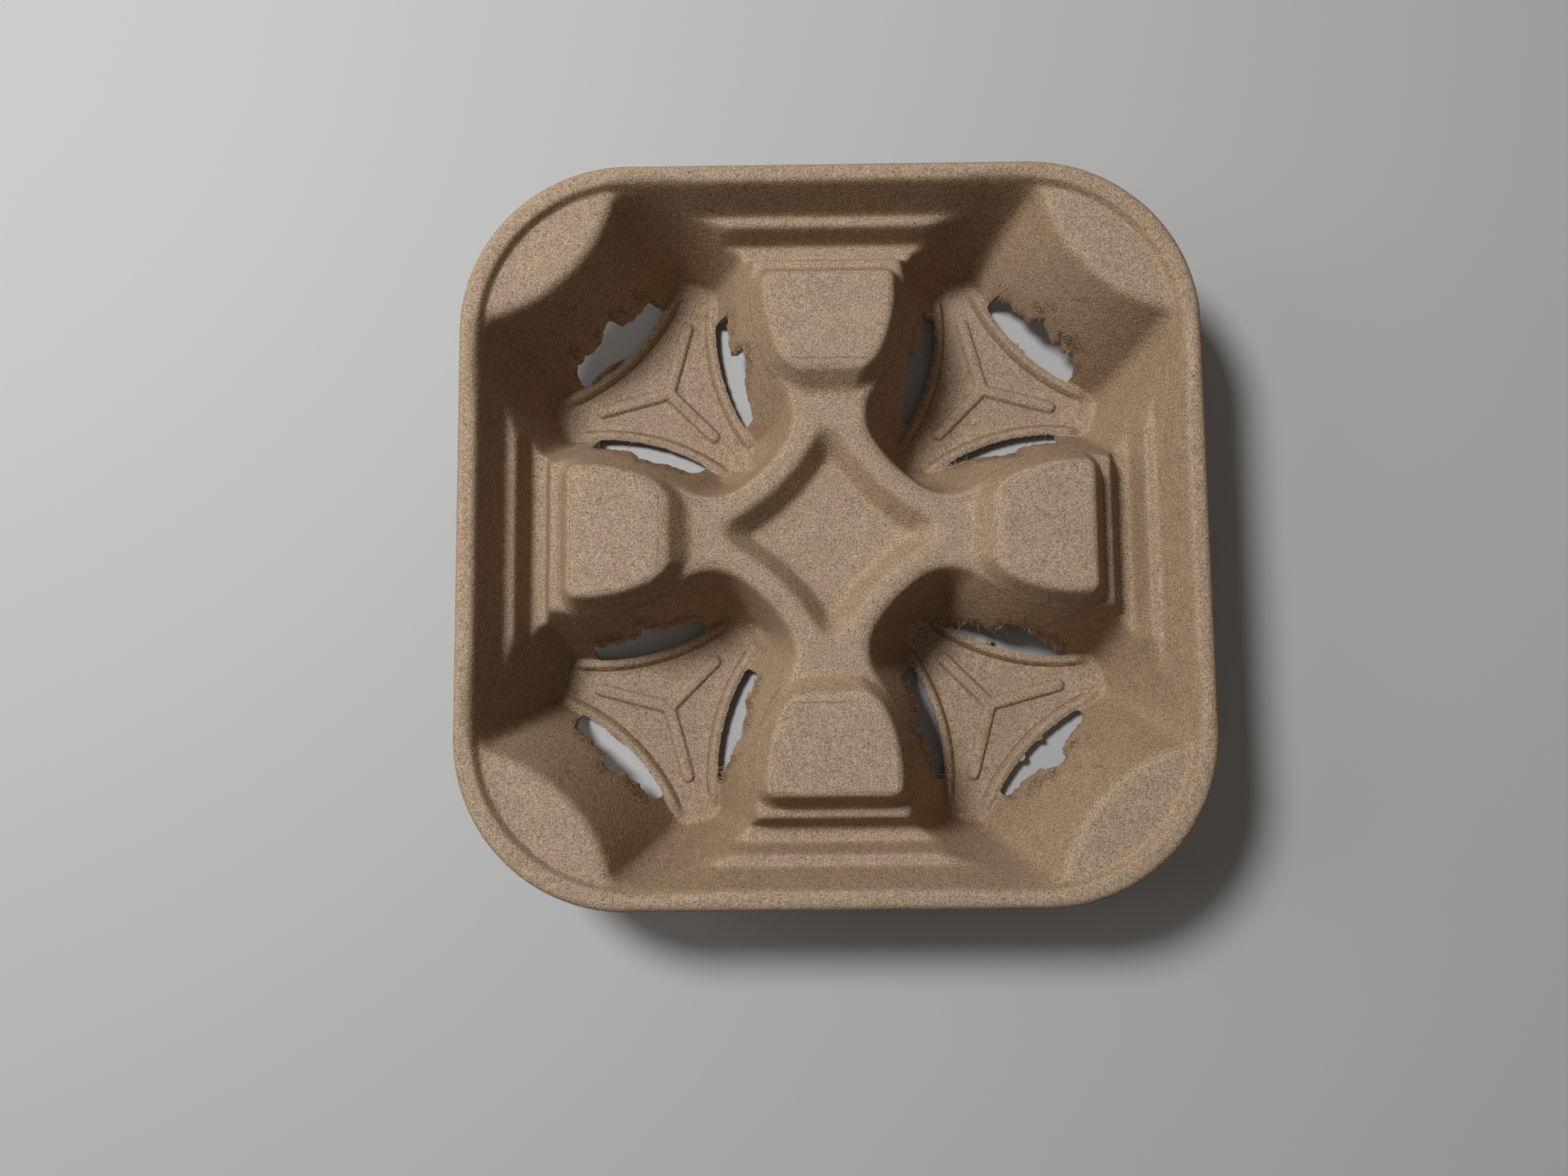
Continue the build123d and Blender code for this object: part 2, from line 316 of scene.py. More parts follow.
    def wall(self, radius: Array, angle: Array, rounds: int = 5) -> Array:
        """Height at which the widening outline passes through each point, found by repeated correction.

        Args:
            radius: distance from the well's middle.
            angle: folded angle from the outward diagonal.
            rounds: how many corrections are made.

        Returns:
            Heights of the wall, and past its ends heights beyond the floor and the mouth.
        """
        level = np.full_like(radius, (self.floor + self.mouth) / 2)
        draft = (self.mouth_waist - self.floor_waist) / (self.mouth - self.floor)
        under, over = self.wall_margins
        for _ in range(rounds):
            level = level + self.outline_distance(radius, angle, level) / draft
            level = np.clip(level, self.floor - under, self.mouth + over)
        return level

    def floor_place(self, radius: Array, angle: Array) -> tuple[Array, Array, Array]:
        """Distances that the floor's relief follows.

        Args:
            radius: distance from the well's middle.
            angle: folded angle from the outward diagonal.

        Returns:
            Distance from the nearest arm of the Y-shaped rib, distance from the nearest flank's axis, and
            angle about that axis from the line to the well's middle.
        """
        at_rim, _, px, py = self.vertex_place(radius, angle)
        length = np.where(at_rim, self.rib_lengths[1], self.rib_lengths[0]) - self.rib_half_width
        from_arm = np.hypot(px - np.clip(px, 0, length), py)
        fx, fy = self.flank_axis()
        aside = np.abs(np.arctan2(fy, fx) - np.arctan2(fy - py, fx - px))
        return from_arm, np.hypot(px - fx, py - fy), aside

    def floor_rise(self, radius: Array, angle: Array) -> Array:
        """Relief of the floor: the Y-shaped rib, and the beads that run along the slots.

        The rib is a flat-topped hump of the distance from its nearest arm. A bead is a roll with a steep
        inner foot, taken from the distance to the flank's axis and faded out towards its two ends.

        Args:
            radius: distance from the well's middle.
            angle: folded angle from the outward diagonal.

        Returns:
            Heights over the floor.
        """
        from_arm, from_axis, aside = self.floor_place(radius, angle)
        rib = np.clip((self.rib_half_width + self.rib_lead - from_arm) / self.rib_ramp, 0, 1)
        rib = self.rib_height * rib * rib * (3 - 2 * rib)
        start, end = self.bead_ends
        section = [(self.bead_foot + run, rise, rounding) for run, rise, rounding in self.bead_section]
        fade = np.clip((self.bead_half_angle - aside) / self.bead_fade, 0, 1)
        fade = np.where(from_axis > self.bead_start, fade * fade * (3 - 2 * fade), 0)
        bead = self.bead_height * profile(from_axis, [start, *section, end]) * fade
        return np.maximum(rib, bead)

    def height(self, radius: Array, angle: Array) -> Array:
        """Floor, rounded foot and wall together.

        The foot is a circle that touches the floor and the wall: floor + r - sqrt(r^2 - (s + T)^2) for the
        distance s from the floor's outline, between -T and T sin(draft), with
        T = r tan((90 degrees - draft) / 2).

        Args:
            radius: distance from the well's middle.
            angle: folded angle from the outward diagonal.

        Returns:
            Heights over the table.
        """
        base = np.full_like(radius, self.floor)
        draft = np.arctan(self.slope(radius, angle, base))
        rounding = self.foot_round
        tangent = rounding * np.tan((np.pi / 2 - draft) / 2)
        off = self.outline_distance(radius, angle, base)
        arc = self.floor + rounding - np.sqrt(np.clip(rounding**2 - (off + tangent) ** 2, 0, None))
        bottom = np.where(off < -tangent, base, arc)
        return np.where(off < tangent * np.sin(draft), bottom, self.wall(radius, angle))


@dataclass(frozen=True)
class LandForm:
    """What the tray would be without its wells and pads: rim, ledges, gutters, platform and sunk diamond."""

    half_width: float
    crown: float
    corner_radius: float = 48.0
    ledge: float = 46.3
    platform: float = 36.8
    platform_end: float = 58.0
    recess: float = 28.5
    step: float = 34.6
    step_start: float = 62.0
    gutter: float = 25.8
    gutter_middle: float = 86.8
    gutter_half_widths: Triple = (2.5, 5.0, 8.3)
    gutter_reach: float = 48.0
    section_rounds: tuple[float, ...] = (1.0, 1.0, 1.7, 2.0, 2.0, 1.8, 1.6, 2.2)
    ledge_rounds: Pair = (0.8, 1.5)
    lip_rounds: tuple[float, ...] = (2.4, 2.8, 3.4, 4.0)
    recess_reach: float = 38.0
    recess_waist: float = 20.5
    recess_wall: float = 5.6
    recess_corner: float = 8.5
    recess_round: float = 3.2
    recess_field: float = 42.0
    pan_edge: float = 99.0
    pan_corner_radius: float = 42.7
    rim_wall: float = 1.0
    rim_outer_round: float = 2.6
    rim_margin: float = 20.0
    skirt: float = 5.5

    def outline(self, x: Array, y: Array) -> tuple[Array, Array, Array]:
        """Distance outward from the tray's outline, and the two parts of the direction out of it."""
        return rounded_square(x, y, self.half_width, self.corner_radius)

    def diamond_distance(self, x: Array, y: Array) -> Array:
        """Distance outward from the sunk diamond: four shallow arcs that bulge inward, rounded vertices.

        Args:
            x: abscissas of the points.
            y: ordinates of the points.

        Returns:
            Signed distances, negative inside the diamond.
        """
        chord = self.recess_reach / math.sqrt(2)
        sagitta = chord - self.recess_waist
        radius = (chord**2 + sagitta**2) / (2 * sagitta)
        centre = (self.recess_waist + radius) / math.sqrt(2)
        right, back = np.abs(x), np.abs(y)
        side = radius - np.hypot(right - centre, back - centre)
        mirrored = np.maximum(right, back), -np.minimum(right, back)
        other = radius - np.hypot(mirrored[0] - centre, mirrored[1] - centre)
        one = np.maximum(side + self.recess_corner, 0)
        two = np.maximum(other + self.recess_corner, 0)
        return np.where(two > 0, np.hypot(one, two) - self.recess_corner, side)

    def height(self, x: Array, y: Array) -> Array:
        """Height of the land, from rounded sections.

        Between the wells the section runs straight out from the middle: platform, gutter with a step on each
        side, rim. In the corners it follows the rounded outline: ledge, rim. The diamond's section follows
        the distance from its outline.

        Args:
            x: abscissas of the points.
            y: ordinates of the points.

        Returns:
            Heights over the table.
        """
        right, back = np.abs(x), np.abs(y)
        out = np.maximum(right, back)
        narrow, middle, wide = self.gutter_half_widths
        bends = (
            (self.platform_end, self.platform),
            (self.step_start, self.step),
            (self.gutter_middle - middle, self.step),
            (self.gutter_middle - narrow, self.gutter),
            (self.gutter_middle + narrow, self.gutter),
            (self.gutter_middle + middle, self.step),
            (self.gutter_middle + wide, self.step),
            (self.pan_edge + self.rim_wall, self.crown),
        )
        section = [(run, level, rounding) for (run, level), rounding in zip(bends, self.section_rounds)]
        start, end = (0.0, self.platform, 0.0), (self.half_width + self.rim_margin, self.crown, 0.0)
        arm = profile(out, [start, *section, end])
        from_pan = rounded_square(x, y, self.pan_edge, self.pan_corner_radius)[0]
        foot_round, top_round = self.ledge_rounds
        section = [(0.0, self.ledge, foot_round), (self.rim_wall, self.crown, top_round)]
        start, end = (-FAR, self.ledge, 0.0), (self.rim_margin, self.crown, 0.0)
        corner = profile(from_pan, [start, *section, end])
        land = np.where(np.minimum(right, back) < self.gutter_reach, arm, corner)
        rounding = self.recess_round
        section = [(-self.recess_wall, self.recess, rounding), (0.0, self.platform, rounding)]
        start, end = (-FAR, self.recess, 0.0), (FAR, self.platform, 0.0)
        sunk = profile(self.diamond_distance(x, y), [start, *section, end])
        return np.where(out < self.recess_field, np.minimum(land, sunk), land)

    def lip_round(self, land: Array) -> Array:
        """Radius of the edge where a well breaks through the land: small in the gutters, larger above."""
        return np.interp(land, [self.gutter, self.step, self.platform, self.ledge], self.lip_rounds)


@dataclass(frozen=True)
class PadForm:
    """The four raised pads, each between two wells, the platform and a gutter, with rounded corners."""

    level: float = 44.5
    inner_edge: float = 46.9
    outer_edge: float = 75.0
    reach: float = 40.0
    inner_draft: float = 0.75
    outer_draft: float = 0.354
    well_draft: float = 0.386
    corner_round: float = 2.6
    lip_round: float = 2.6

    def depth(self, x: Array, y: Array, from_well: Array) -> Array:
        """Distance inward from a pad's nearest edge, scaled to the draft of its walls towards the wells.

        Where the distances from two edges are under the corner radius r, r - hypot(r - one, r - other)
        rounds the corner between them.

        Args:
            x: abscissas.
            y: ordinates.
            from_well: distance outward from the well's outline at the pads' level.

        Returns:
            Depths, negative outside the pads.
        """
        out = np.maximum(np.abs(x), np.abs(y))
        inner = (out - self.inner_edge) * self.well_draft / self.inner_draft
        outer = (self.outer_edge - out) * self.well_draft / self.outer_draft
        across = np.minimum(inner, outer)
        one, two = self.corner_round - from_well, self.corner_round - across
        both = (one > 0) & (two > 0)
        return np.where(both, self.corner_round - np.hypot(one, two), np.minimum(from_well, across))

    def height(self, x: Array, y: Array, from_well: Array) -> Array:
        """Height of the pads' tops and of their walls carried on downwards.

        The top edge is a circle that touches the top and the wall, as at the mouth of a well.

        Args:
            x: abscissas.
            y: ordinates.
            from_well: distance outward from the well's outline at the pads' level.

        Returns:
            Heights, far below the tray where there is no pad.
        """
        aside = np.minimum(np.abs(x), np.abs(y))
        depth = self.depth(x, y, from_well)
        draft = math.atan(self.well_draft)
        tangent = self.lip_round * math.tan((math.pi / 2 - draft) / 2)
        arc = np.sqrt(np.clip(self.lip_round**2 - (depth - tangent) ** 2, 0, None))
        top = np.where(depth < tangent, self.level - self.lip_round + arc, self.level)
        wall = self.level + depth / self.well_draft
        return np.where(aside < self.reach, np.where(depth < -tangent * math.sin(draft), wall, top), -FAR)


@dataclass(frozen=True)
class Tear:
    """One slot's torn outline, in the frame of its flank: along the arc 60 mm from the axis, and the radius.

    Attributes:
        quarter: the well.
        flank: the flank of the well.
        edge: (along, radius) of the torn edge on the flank, from one end to the other.
        hangs: (along, half width, depth) of scraps that hang into the slot from the bead.
        curls: places along the slot with many loose fibres.
    """

    quarter: Quarter
    flank: Flank
    edge: tuple[Pair, ...]
    hangs: tuple[Triple, ...] = ()
    curls: tuple[float, ...] = ()


TEARS = (
    Tear(
        Quarter.LEFT_BACK,
        Flank.CORNER,
        ((-17.2, 59.4), (-16.0, 58.0), (-7.2, 57.4), (-4.5, 56.6), (-1.3, 54.7))
        + ((1.3, 54.7), (5.1, 56.3), (15.4, 57.0), (17.4, 59.2)),
        hangs=((8.4, 8.0, 1.7),),
        curls=(-6.0,),
    ),
    Tear(
        Quarter.LEFT_BACK,
        Flank.BACK_PAD,
        ((-17.2, 58.7), (-9.7, 57.2), (-0.4, 53.9), (2.2, 54.2), (2.8, 56.6), (4.7, 58.0), (17.5, 57.8)),
    ),
    Tear(
        Quarter.LEFT_BACK,
        Flank.SIDE_PAD,
        ((-17.5, 56.2), (-4.1, 56.0), (-1.2, 54.4), (0.1, 53.4))
        + ((4.6, 53.4), (7.7, 54.6), (14.9, 55.8), (17.5, 57.2)),
    ),
    Tear(
        Quarter.RIGHT_BACK,
        Flank.CORNER,
        ((-17.2, 59.6), (-15.7, 58.6), (-13.2, 57.5), (-3.8, 57.3))
        + ((-0.4, 55.1), (4.5, 56.8), (13.5, 56.9), (17.1, 58.8)),
        hangs=((-2.0, 1.2, 0.7),),
        curls=(-16.0, 12.0),
    ),
    Tear(
        Quarter.RIGHT_BACK,
        Flank.BACK_PAD,
        ((-17.6, 59.2), (-14.3, 57.7), (-13.6, 56.8), (-6.0, 55.2), (-4.8, 53.6))
        + ((0.1, 53.7), (1.6, 55.9), (4.4, 56.8), (17.0, 56.7)),
        curls=(16.0,),
    ),
    Tear(
        Quarter.RIGHT_BACK,
        Flank.SIDE_PAD,
        ((-17.5, 56.4), (-4.1, 56.6), (-2.0, 56.0), (-0.6, 54.4))
        + ((4.2, 55.2), (8.1, 57.4), (12.5, 59.7), (17.0, 61.2)),
        curls=(14.0, 16.5),
    ),
    Tear(
        Quarter.LEFT_FRONT,
        Flank.CORNER,
        ((-16.5, 59.8), (-15.6, 58.7), (-5.5, 57.3), (-3.9, 55.9), (-1.3, 55.2))
        + ((1.9, 55.2), (2.9, 56.9), (15.9, 58.1), (17.3, 59.2)),
        hangs=((6.0, 3.6, 0.6),),
        curls=(-16.0, 3.0),
    ),
    Tear(
        Quarter.LEFT_FRONT,
        Flank.BACK_PAD,
        ((-17.6, 57.9), (-7.1, 57.4), (-4.7, 55.8), (-0.3, 56.1))
        + ((2.5, 55.3), (4.6, 56.5), (11.8, 58.7), (16.5, 61.0)),
        curls=(4.2, 14.5, 16.5),
    ),
    Tear(
        Quarter.LEFT_FRONT,
        Flank.SIDE_PAD,
        ((-17.4, 59.2), (-16.1, 58.6), (-3.9, 57.4), (-0.3, 55.6), (1.6, 55.5), (6.7, 57.3), (17.1, 58.9)),
        curls=(-16.5,),
    ),
    Tear(
        Quarter.RIGHT_FRONT,
        Flank.CORNER,
        ((-17.8, 59.5), (-8.6, 58.0), (-5.0, 56.9), (-2.0, 55.2), (-0.3, 54.7))
        + ((2.5, 54.9), (3.5, 56.1), (10.7, 58.2), (17.4, 59.2)),
        hangs=((-5.0, 1.6, 1.0), (3.0, 1.4, 0.6)),
    ),
    Tear(
        Quarter.RIGHT_FRONT,
        Flank.BACK_PAD,
        ((-17.6, 57.1), (-4.5, 55.9), (-2.0, 53.2), (0.0, 53.4))
        + ((1.7, 55.0), (9.4, 56.4), (13.6, 57.8), (17.4, 58.6)),
        curls=(15.5,),
    ),
    Tear(
        Quarter.RIGHT_FRONT,
        Flank.SIDE_PAD,
        ((-17.6, 60.1), (-14.7, 60.1), (-12.9, 58.8), (-7.2, 57.4), (-2.5, 55.9))
        + ((4.2, 55.7), (5.1, 57.9), (15.3, 59.4), (17.4, 60.2)),
        hangs=((5.2, 0.8, 2.0), (10.0, 0.7, 0.5)),
        curls=(-16.0, -14.0, 5.0, 16.0),
    ),
)


@dataclass(frozen=True)
class TornSlots:
    """The twelve slots at the feet of the flanks: clean edges along the beads, torn edges on the flanks.

    Spans are the least and greatest radius from a flank's axis. A fray is (height, length, number added to
    the slot's seed).
    """

    well: WellForm
    tears: tuple[Tear, ...] = TEARS
    bead_edge: float = 62.3
    half_length: float = 17.6
    frame_radius: float = 60.0
    corner_round: float = 1.3
    farthest: float = 5.0
    slot_span: Pair = (45.0, 70.0)
    torn_span: Pair = (45.0, 62.5)
    torn_margin: float = 3.0
    torn_end: float = 1.0
    torn_seed: int = 100
    waver: Pair = (0.2, 3.1)
    frays: tuple[Wave, ...] = ((0.09, 1.4, 50), (0.02, 0.8, 90))
    calm_wave: tuple[float, int] = (7.0, 20)
    calm_range: Pair = (0.15, 1.2)
    bead_seed: int = 300
    bead_waver: Pair = (0.07, 2.3)
    scrap_span: Pair = (57.0, 63.0)
    scrap_width: float = 0.7
    scrap_depths: Pair = (0.2, 0.4)
    scrap_lead: Pair = (1.4, 0.8)
    scrap_least: float = 0.3

    def axis(self, tear: Tear) -> Pair:
        """Place of a flank's axis in the first quadrant.

        Args:
            tear: the slot.

        Returns:
            X and Y of the axis.
        """
        angle = math.radians(tear.flank.value)
        reach = self.well.axis_distance
        return self.well.middle + reach * math.cos(angle), self.well.middle + reach * math.sin(angle)

    def place(self, tear: Tear, x: Array, y: Array) -> Arrays:
        """Places of tray points in a slot's own frame.

        Args:
            tear: the slot.
            x: abscissas in the tray.
            y: ordinates in the tray.

        Returns:
            Distance along the slot and radius from the flank's axis.
        """
        axis_x, axis_y = self.axis(tear)
        sign_x, sign_y = tear.quarter.value
        off_x, off_y = x * sign_x - axis_x, y * sign_y - axis_y
        turn = np.arctan2(off_y, off_x) - math.radians(tear.flank.value) - np.pi
        turn = (turn + np.pi) % (2 * np.pi) - np.pi
        return turn * self.frame_radius, np.hypot(off_x, off_y)

    def tray_place(self, tear: Tear, along: Array, radius: Array) -> Arrays:
        """Tray coordinates of places in a slot's own frame, the reverse of place.

        Args:
            tear: the slot.
            along: distances along the slot.
            radius: radii from the flank's axis.

        Returns:
            X and Y in the tray.
        """
        axis_x, axis_y = self.axis(tear)
        sign_x, sign_y = tear.quarter.value
        turn = along / self.frame_radius + math.radians(tear.flank.value) + np.pi
        return sign_x * (axis_x + radius * np.cos(turn)), sign_y * (axis_y + radius * np.sin(turn))

    def near(self, x: Array, y: Array, margin: float, span: Pair) -> Iterator[tuple]:
        """Goes through the slots, each with the points near it.

        Args:
            x: abscissas in the tray.
            y: ordinates in the tray.
            margin: how far past the slot's ends the points may lie.
            span: least and greatest radius of the points from the flank's axis.

        Yields:
            The slot, the mask of its points, their distances along the slot and their radii.
        """
        for tear in self.tears:
            along, radius = self.place(tear, x, y)
            sign_x, sign_y = tear.quarter.value
            near = (np.abs(along) < self.half_length + margin) & (radius > span[0]) & (radius < span[1])
            near &= (x * sign_x > 0) & (y * sign_y > 0)
            yield tear, near, along[near], radius[near]

    def torn_radius(self, tear: Tear, along: Array) -> Array:
        """Radius of the torn edge: straight stretches between points, roughened, calmer in places.

        Args:
            tear: the slot.
            along: distances along the slot.

        Returns:
            Radii from the flank's axis.
        """
        seed = self.torn_seed + self.tears.index(tear)
        zero = np.zeros_like(along)
        length, step = self.calm_wave
        calm = np.clip(0.5 + ripple(along, zero, length, seed + step), *self.calm_range)
        height, length = self.waver
        rough = height * ripple(along, zero, length, seed)
        for height, length, step in self.frays:
            rough = rough + height * calm * ripple(along, zero, length, seed + step)
        return np.interp(along, *zip(*tear.edge)) + rough

    def bead_radius(self, tear: Tear, along: Array) -> Array:
        """Radius of the edge along the bead, with a faint roughness and the scraps that hang from it.

        Args:
            tear: the slot.
            along: distances along the slot.

        Returns:
            Radii from the flank's axis.
        """
        seed = self.bead_seed + self.tears.index(tear)
        height, length = self.bead_waver
        edge = self.bead_edge + height * ripple(along, np.zeros_like(along), length, seed)
        for middle, half, depth in tear.hangs:
            edge = edge - depth * np.exp(-(((along - middle) / (self.scrap_width * half)) ** 4))
        return edge

    def distance(self, x: Array, y: Array) -> Array:
        """Distance from the nearest slot, negative inside it, and only a lower bound where it is far.

        Each slot is the common part of four half spaces, over the torn edge, under the bead's edge and
        between the two ends, with rounded corners.

        Args:
            x: abscissas of the points.
            y: ordinates of the points.

        Returns:
            Signed distances.
        """
        nearest = np.full_like(x, self.farthest)
        for tear, near, along, radius in self.near(x, y, self.farthest, self.slot_span):
            inner, outer = self.torn_radius(tear, along) - radius, radius - self.bead_radius(tear, along)
            across = np.maximum(inner, outer)
            ends = np.abs(along) - self.half_length
            one = np.maximum(across + self.corner_round, 0)
            two = np.maximum(ends + self.corner_round, 0)
            corner = np.hypot(one, two) - self.corner_round
            both = np.where((one > 0) & (two > 0), corner, np.maximum(across, ends))
            nearest[near] = np.minimum(nearest[near], both)
        return nearest

    def scraps(self, x: Array, y: Array) -> Array:
        """Share, 0 to 1, by which places belong to a scrap that hangs from a bead.

        Args:
            x: abscissas of the points.
            y: ordinates of the points.

        Returns:
            Shares, in the shape of x.
        """
        share = np.zeros_like(x)
        least, ramp = self.scrap_depths
        lead, run = self.scrap_lead
        for tear, near, along, radius in self.near(x, y, 0.0, self.scrap_span):
            edge = self.bead_radius(tear, along)
            hanging = np.clip((self.bead_edge - edge - least) / ramp, 0, 1)
            share[near] = hanging * np.clip((radius - edge + lead) / run, 0, 1)
        return share

    def torn_distance(self, x: Array, y: Array) -> Array:
        """Distance from the nearest torn edge on a flank or on a scrap, for the look of the torn pulp.

        Args:
            x: abscissas of the points.
            y: ordinates of the points.

        Returns:
            Distances, none over the farthest that is looked for.
        """
        nearest = np.full_like(x, self.farthest)
        for tear, near, along, radius in self.near(x, y, self.torn_margin, self.torn_span):
            up = np.abs(self.torn_radius(tear, along) - radius)
            past = np.maximum(np.abs(along) - self.half_length + self.torn_end, 0)
            edge = self.bead_radius(tear, along)
            hangs = self.bead_edge - edge > self.scrap_least
            scrap = np.where(hangs, np.abs(edge - radius), self.farthest)
            nearest[near] = np.minimum(nearest[near], np.minimum(up + past, scrap))
        return nearest


@dataclass(frozen=True)
class CarrierSheet:
    """The whole sheet of pulp, from the height of its upper face to the finished mesh.

    Waves are (height, length, seed). How far points snap and how far inward triangles must lie are shares of
    the grid's pitch.
    """

    well: WellForm
    land: LandForm
    pads: PadForm
    slots: TornSlots
    thickness: float = 1.8
    pitch: float = 0.42
    triangle_budget: int = 176_000
    sharp_angle: float = 48.0
    unevenness: float = 0.09
    swells: tuple[Wave, ...] = ((0.6, 34.0, 1), (0.45, 11.0, 2), (0.25, 4.5, 3))
    softness: float = 0.5
    soft_places: tuple[int, int] = (2, 6)
    pad_foot: float = 2.6
    trim_roughness: float = 0.16
    trim_waves: tuple[Wave, ...] = ((1.0, 9.0, 21), (0.6, 2.2, 22))
    snap_rounds: int = 3
    snap_reach: float = 0.56
    snap_limit: float = 0.6
    least_slope: float = 0.3
    least_inward: float = -0.25
    mean_inward: float = 0.05
    end_slope: float = 60.0
    end_share: float = 0.9

    def pressed(self, x: Array, y: Array) -> Array:
        """Height of the former's face over points of the tray.

        A well's wall meets the land in a circle of radius R that touches both: the height is
        land - R + sqrt(R^2 - (s - T)^2) for the distance s from the well's outline at the land's level,
        between -T sin(draft) and T, with T = R tan((90 degrees - draft) / 2). Nearer the well it is the
        wall, farther the land.

        Args:
            x: abscissas.
            y: ordinates.

        Returns:
            Heights over the table.
        """
        land = self.land.height(x, y)
        radius, angle = self.well.local(x, y)
        off = self.well.outline_distance(radius, angle, land)
        draft = np.arctan(self.well.slope(radius, angle, land))
        rounding = self.land.lip_round(land)
        tangent = rounding * np.tan((np.pi / 2 - draft) / 2)
        lip = land - rounding + np.sqrt(np.clip(rounding**2 - (off - tangent) ** 2, 0, None))
        top = np.where(off < tangent, lip, land)
        whole = np.where(off < -tangent * np.sin(draft), self.well.height(radius, angle), top)
        from_well = self.well.outline_distance(radius, angle, np.full_like(x, self.pads.level))
        pads = self.pads.height(x, y, from_well)
        near = np.maximum(self.pad_foot - np.abs(whole - pads), 0)
        return np.maximum(whole, pads) + near**2 / (4 * self.pad_foot)

    def height(self, x: Array, y: Array) -> Array:
        """Height of the upper face.

        It is the former's, softened over a small ring of places, with the relief of the wells' floors, the
        level scraps on the beads and a little unevenness.

        Args:
            x: abscissas of the points.
            y: ordinates of the points.

        Returns:
            Heights over the table.
        """
        core, ring = self.soft_places
        total = core * self.pressed(x, y)
        for turn in np.linspace(0, 2 * np.pi, ring, endpoint=False):
            total += self.pressed(x + self.softness * np.cos(turn), y + self.softness * np.sin(turn))
        bumps = sum(height * ripple(x, y, length, seed) for height, length, seed in self.swells)
        relief = self.well.floor + self.well.floor_rise(*self.well.local(x, y))
        level = np.maximum(total / (core + ring), relief)
        flat = np.minimum(level, self.well.floor + self.well.bead_height)
        level = level + self.slots.scraps(x, y) * (flat - level)
        return np.minimum(level + self.unevenness * bumps, self.land.crown)

    def edge_distance(self, x: Array, y: Array) -> Array:
        """Distance inward from the sheet's edges, on the unrolled sheet: the trimmed rim and the slots.

        Args:
            x: abscissas of the points.
            y: ordinates of the points.

        Returns:
            Signed distances, negative off the sheet.
        """
        past = self.land.outline(x, y)[0] + self.land.rim_outer_round
        around = np.arctan2(y, x) * self.land.half_width
        zero = np.zeros_like(x)
        waves = sum(height * ripple(around, zero, length, seed) for height, length, seed in self.trim_waves)
        rough = self.trim_roughness * waves
        return np.minimum(self.unrolled_rim() + np.minimum(rough, 0) - past, self.slots.distance(x, y))

    def unrolled_rim(self) -> float:
        """Length of the sheet from the start of the rim's outer rounding to the foot of the skirt."""
        return self.land.rim_outer_round * math.pi / 2 + self.land.skirt - self.land.rim_outer_round

    def snapped(self, x: Array, y: Array) -> Arrays:
        """Grid points, with those next to an edge pulled straight onto it along the distance's gradient.

        Args:
            x: abscissas of the points.
            y: ordinates of the points.

        Returns:
            X and Y of the points after the move.
        """
        x, y = x.copy(), y.copy()
        nudge = 0.02
        limit = self.snap_limit * self.pitch
        for _ in range(self.snap_rounds):
            distance = self.edge_distance(x, y)
            near = np.abs(distance) < self.snap_reach * self.pitch
            near_x, near_y, off = x[near], y[near], distance[near]
            slope_x = self.edge_distance(near_x + nudge, near_y) - self.edge_distance(near_x - nudge, near_y)
            slope_y = self.edge_distance(near_x, near_y + nudge) - self.edge_distance(near_x, near_y - nudge)
            slope_x, slope_y = slope_x / (2 * nudge), slope_y / (2 * nudge)
            steep = np.maximum(slope_x**2 + slope_y**2, self.least_slope)
            x[near] -= np.clip(off * slope_x / steep, -limit, limit)
            y[near] -= np.clip(off * slope_y / steep, -limit, limit)
        return x, y

    def underside(self, height: Array) -> Array:
        """Underside of a grid of heights, everywhere one thickness away from the upper face.

        It is the lower envelope of balls of that radius on the upper face: at each point the lowest of
        height(neighbour) - sqrt(thickness^2 - distance^2).

        Args:
            height: heights at the points of the grid.

        Returns:
            Heights of the underside at the same points.
        """
        reach = int(self.thickness / self.pitch)
        rows, columns = height.shape
        padded = np.pad(height, reach, mode="edge")
        low = np.full_like(height, np.inf)
        for row in range(-reach, reach + 1):
            for column in range(-reach, reach + 1):
                room = self.thickness**2 - self.pitch**2 * (row**2 + column**2)
                if room >= 0:
                    below, left = reach + row, reach + column
                    part = padded[below : below + rows, left : left + columns]
                    low = np.minimum(low, part - math.sqrt(room))
        return low

    def between(self, grid: Array, x: Array, y: Array, start: float) -> Array:
        """Values of a square grid at any places, interpolated between the four points around each place.

        Args:
            grid: values at the points of the grid.
            x: abscissas of the points.
            y: ordinates of the points.
            start: coordinate of the grid's first row and column.

        Returns:
            Interpolated values, in the shape of x.
        """
        # A little over one cell is kept free at the end, so that the next point is still on the grid.
        spare = 1.001
        column = np.clip((x - start) / self.pitch, 0, grid.shape[0] - spare)
        row = np.clip((y - start) / self.pitch, 0, grid.shape[1] - spare)
        left, front = column.astype(int), row.astype(int)
        right, back = column - left, row - front
        low = grid[left, front] * (1 - right) + grid[left + 1, front] * right
        high = grid[left, front + 1] * (1 - right) + grid[left + 1, front + 1] * right
        return low * (1 - back) + high * back

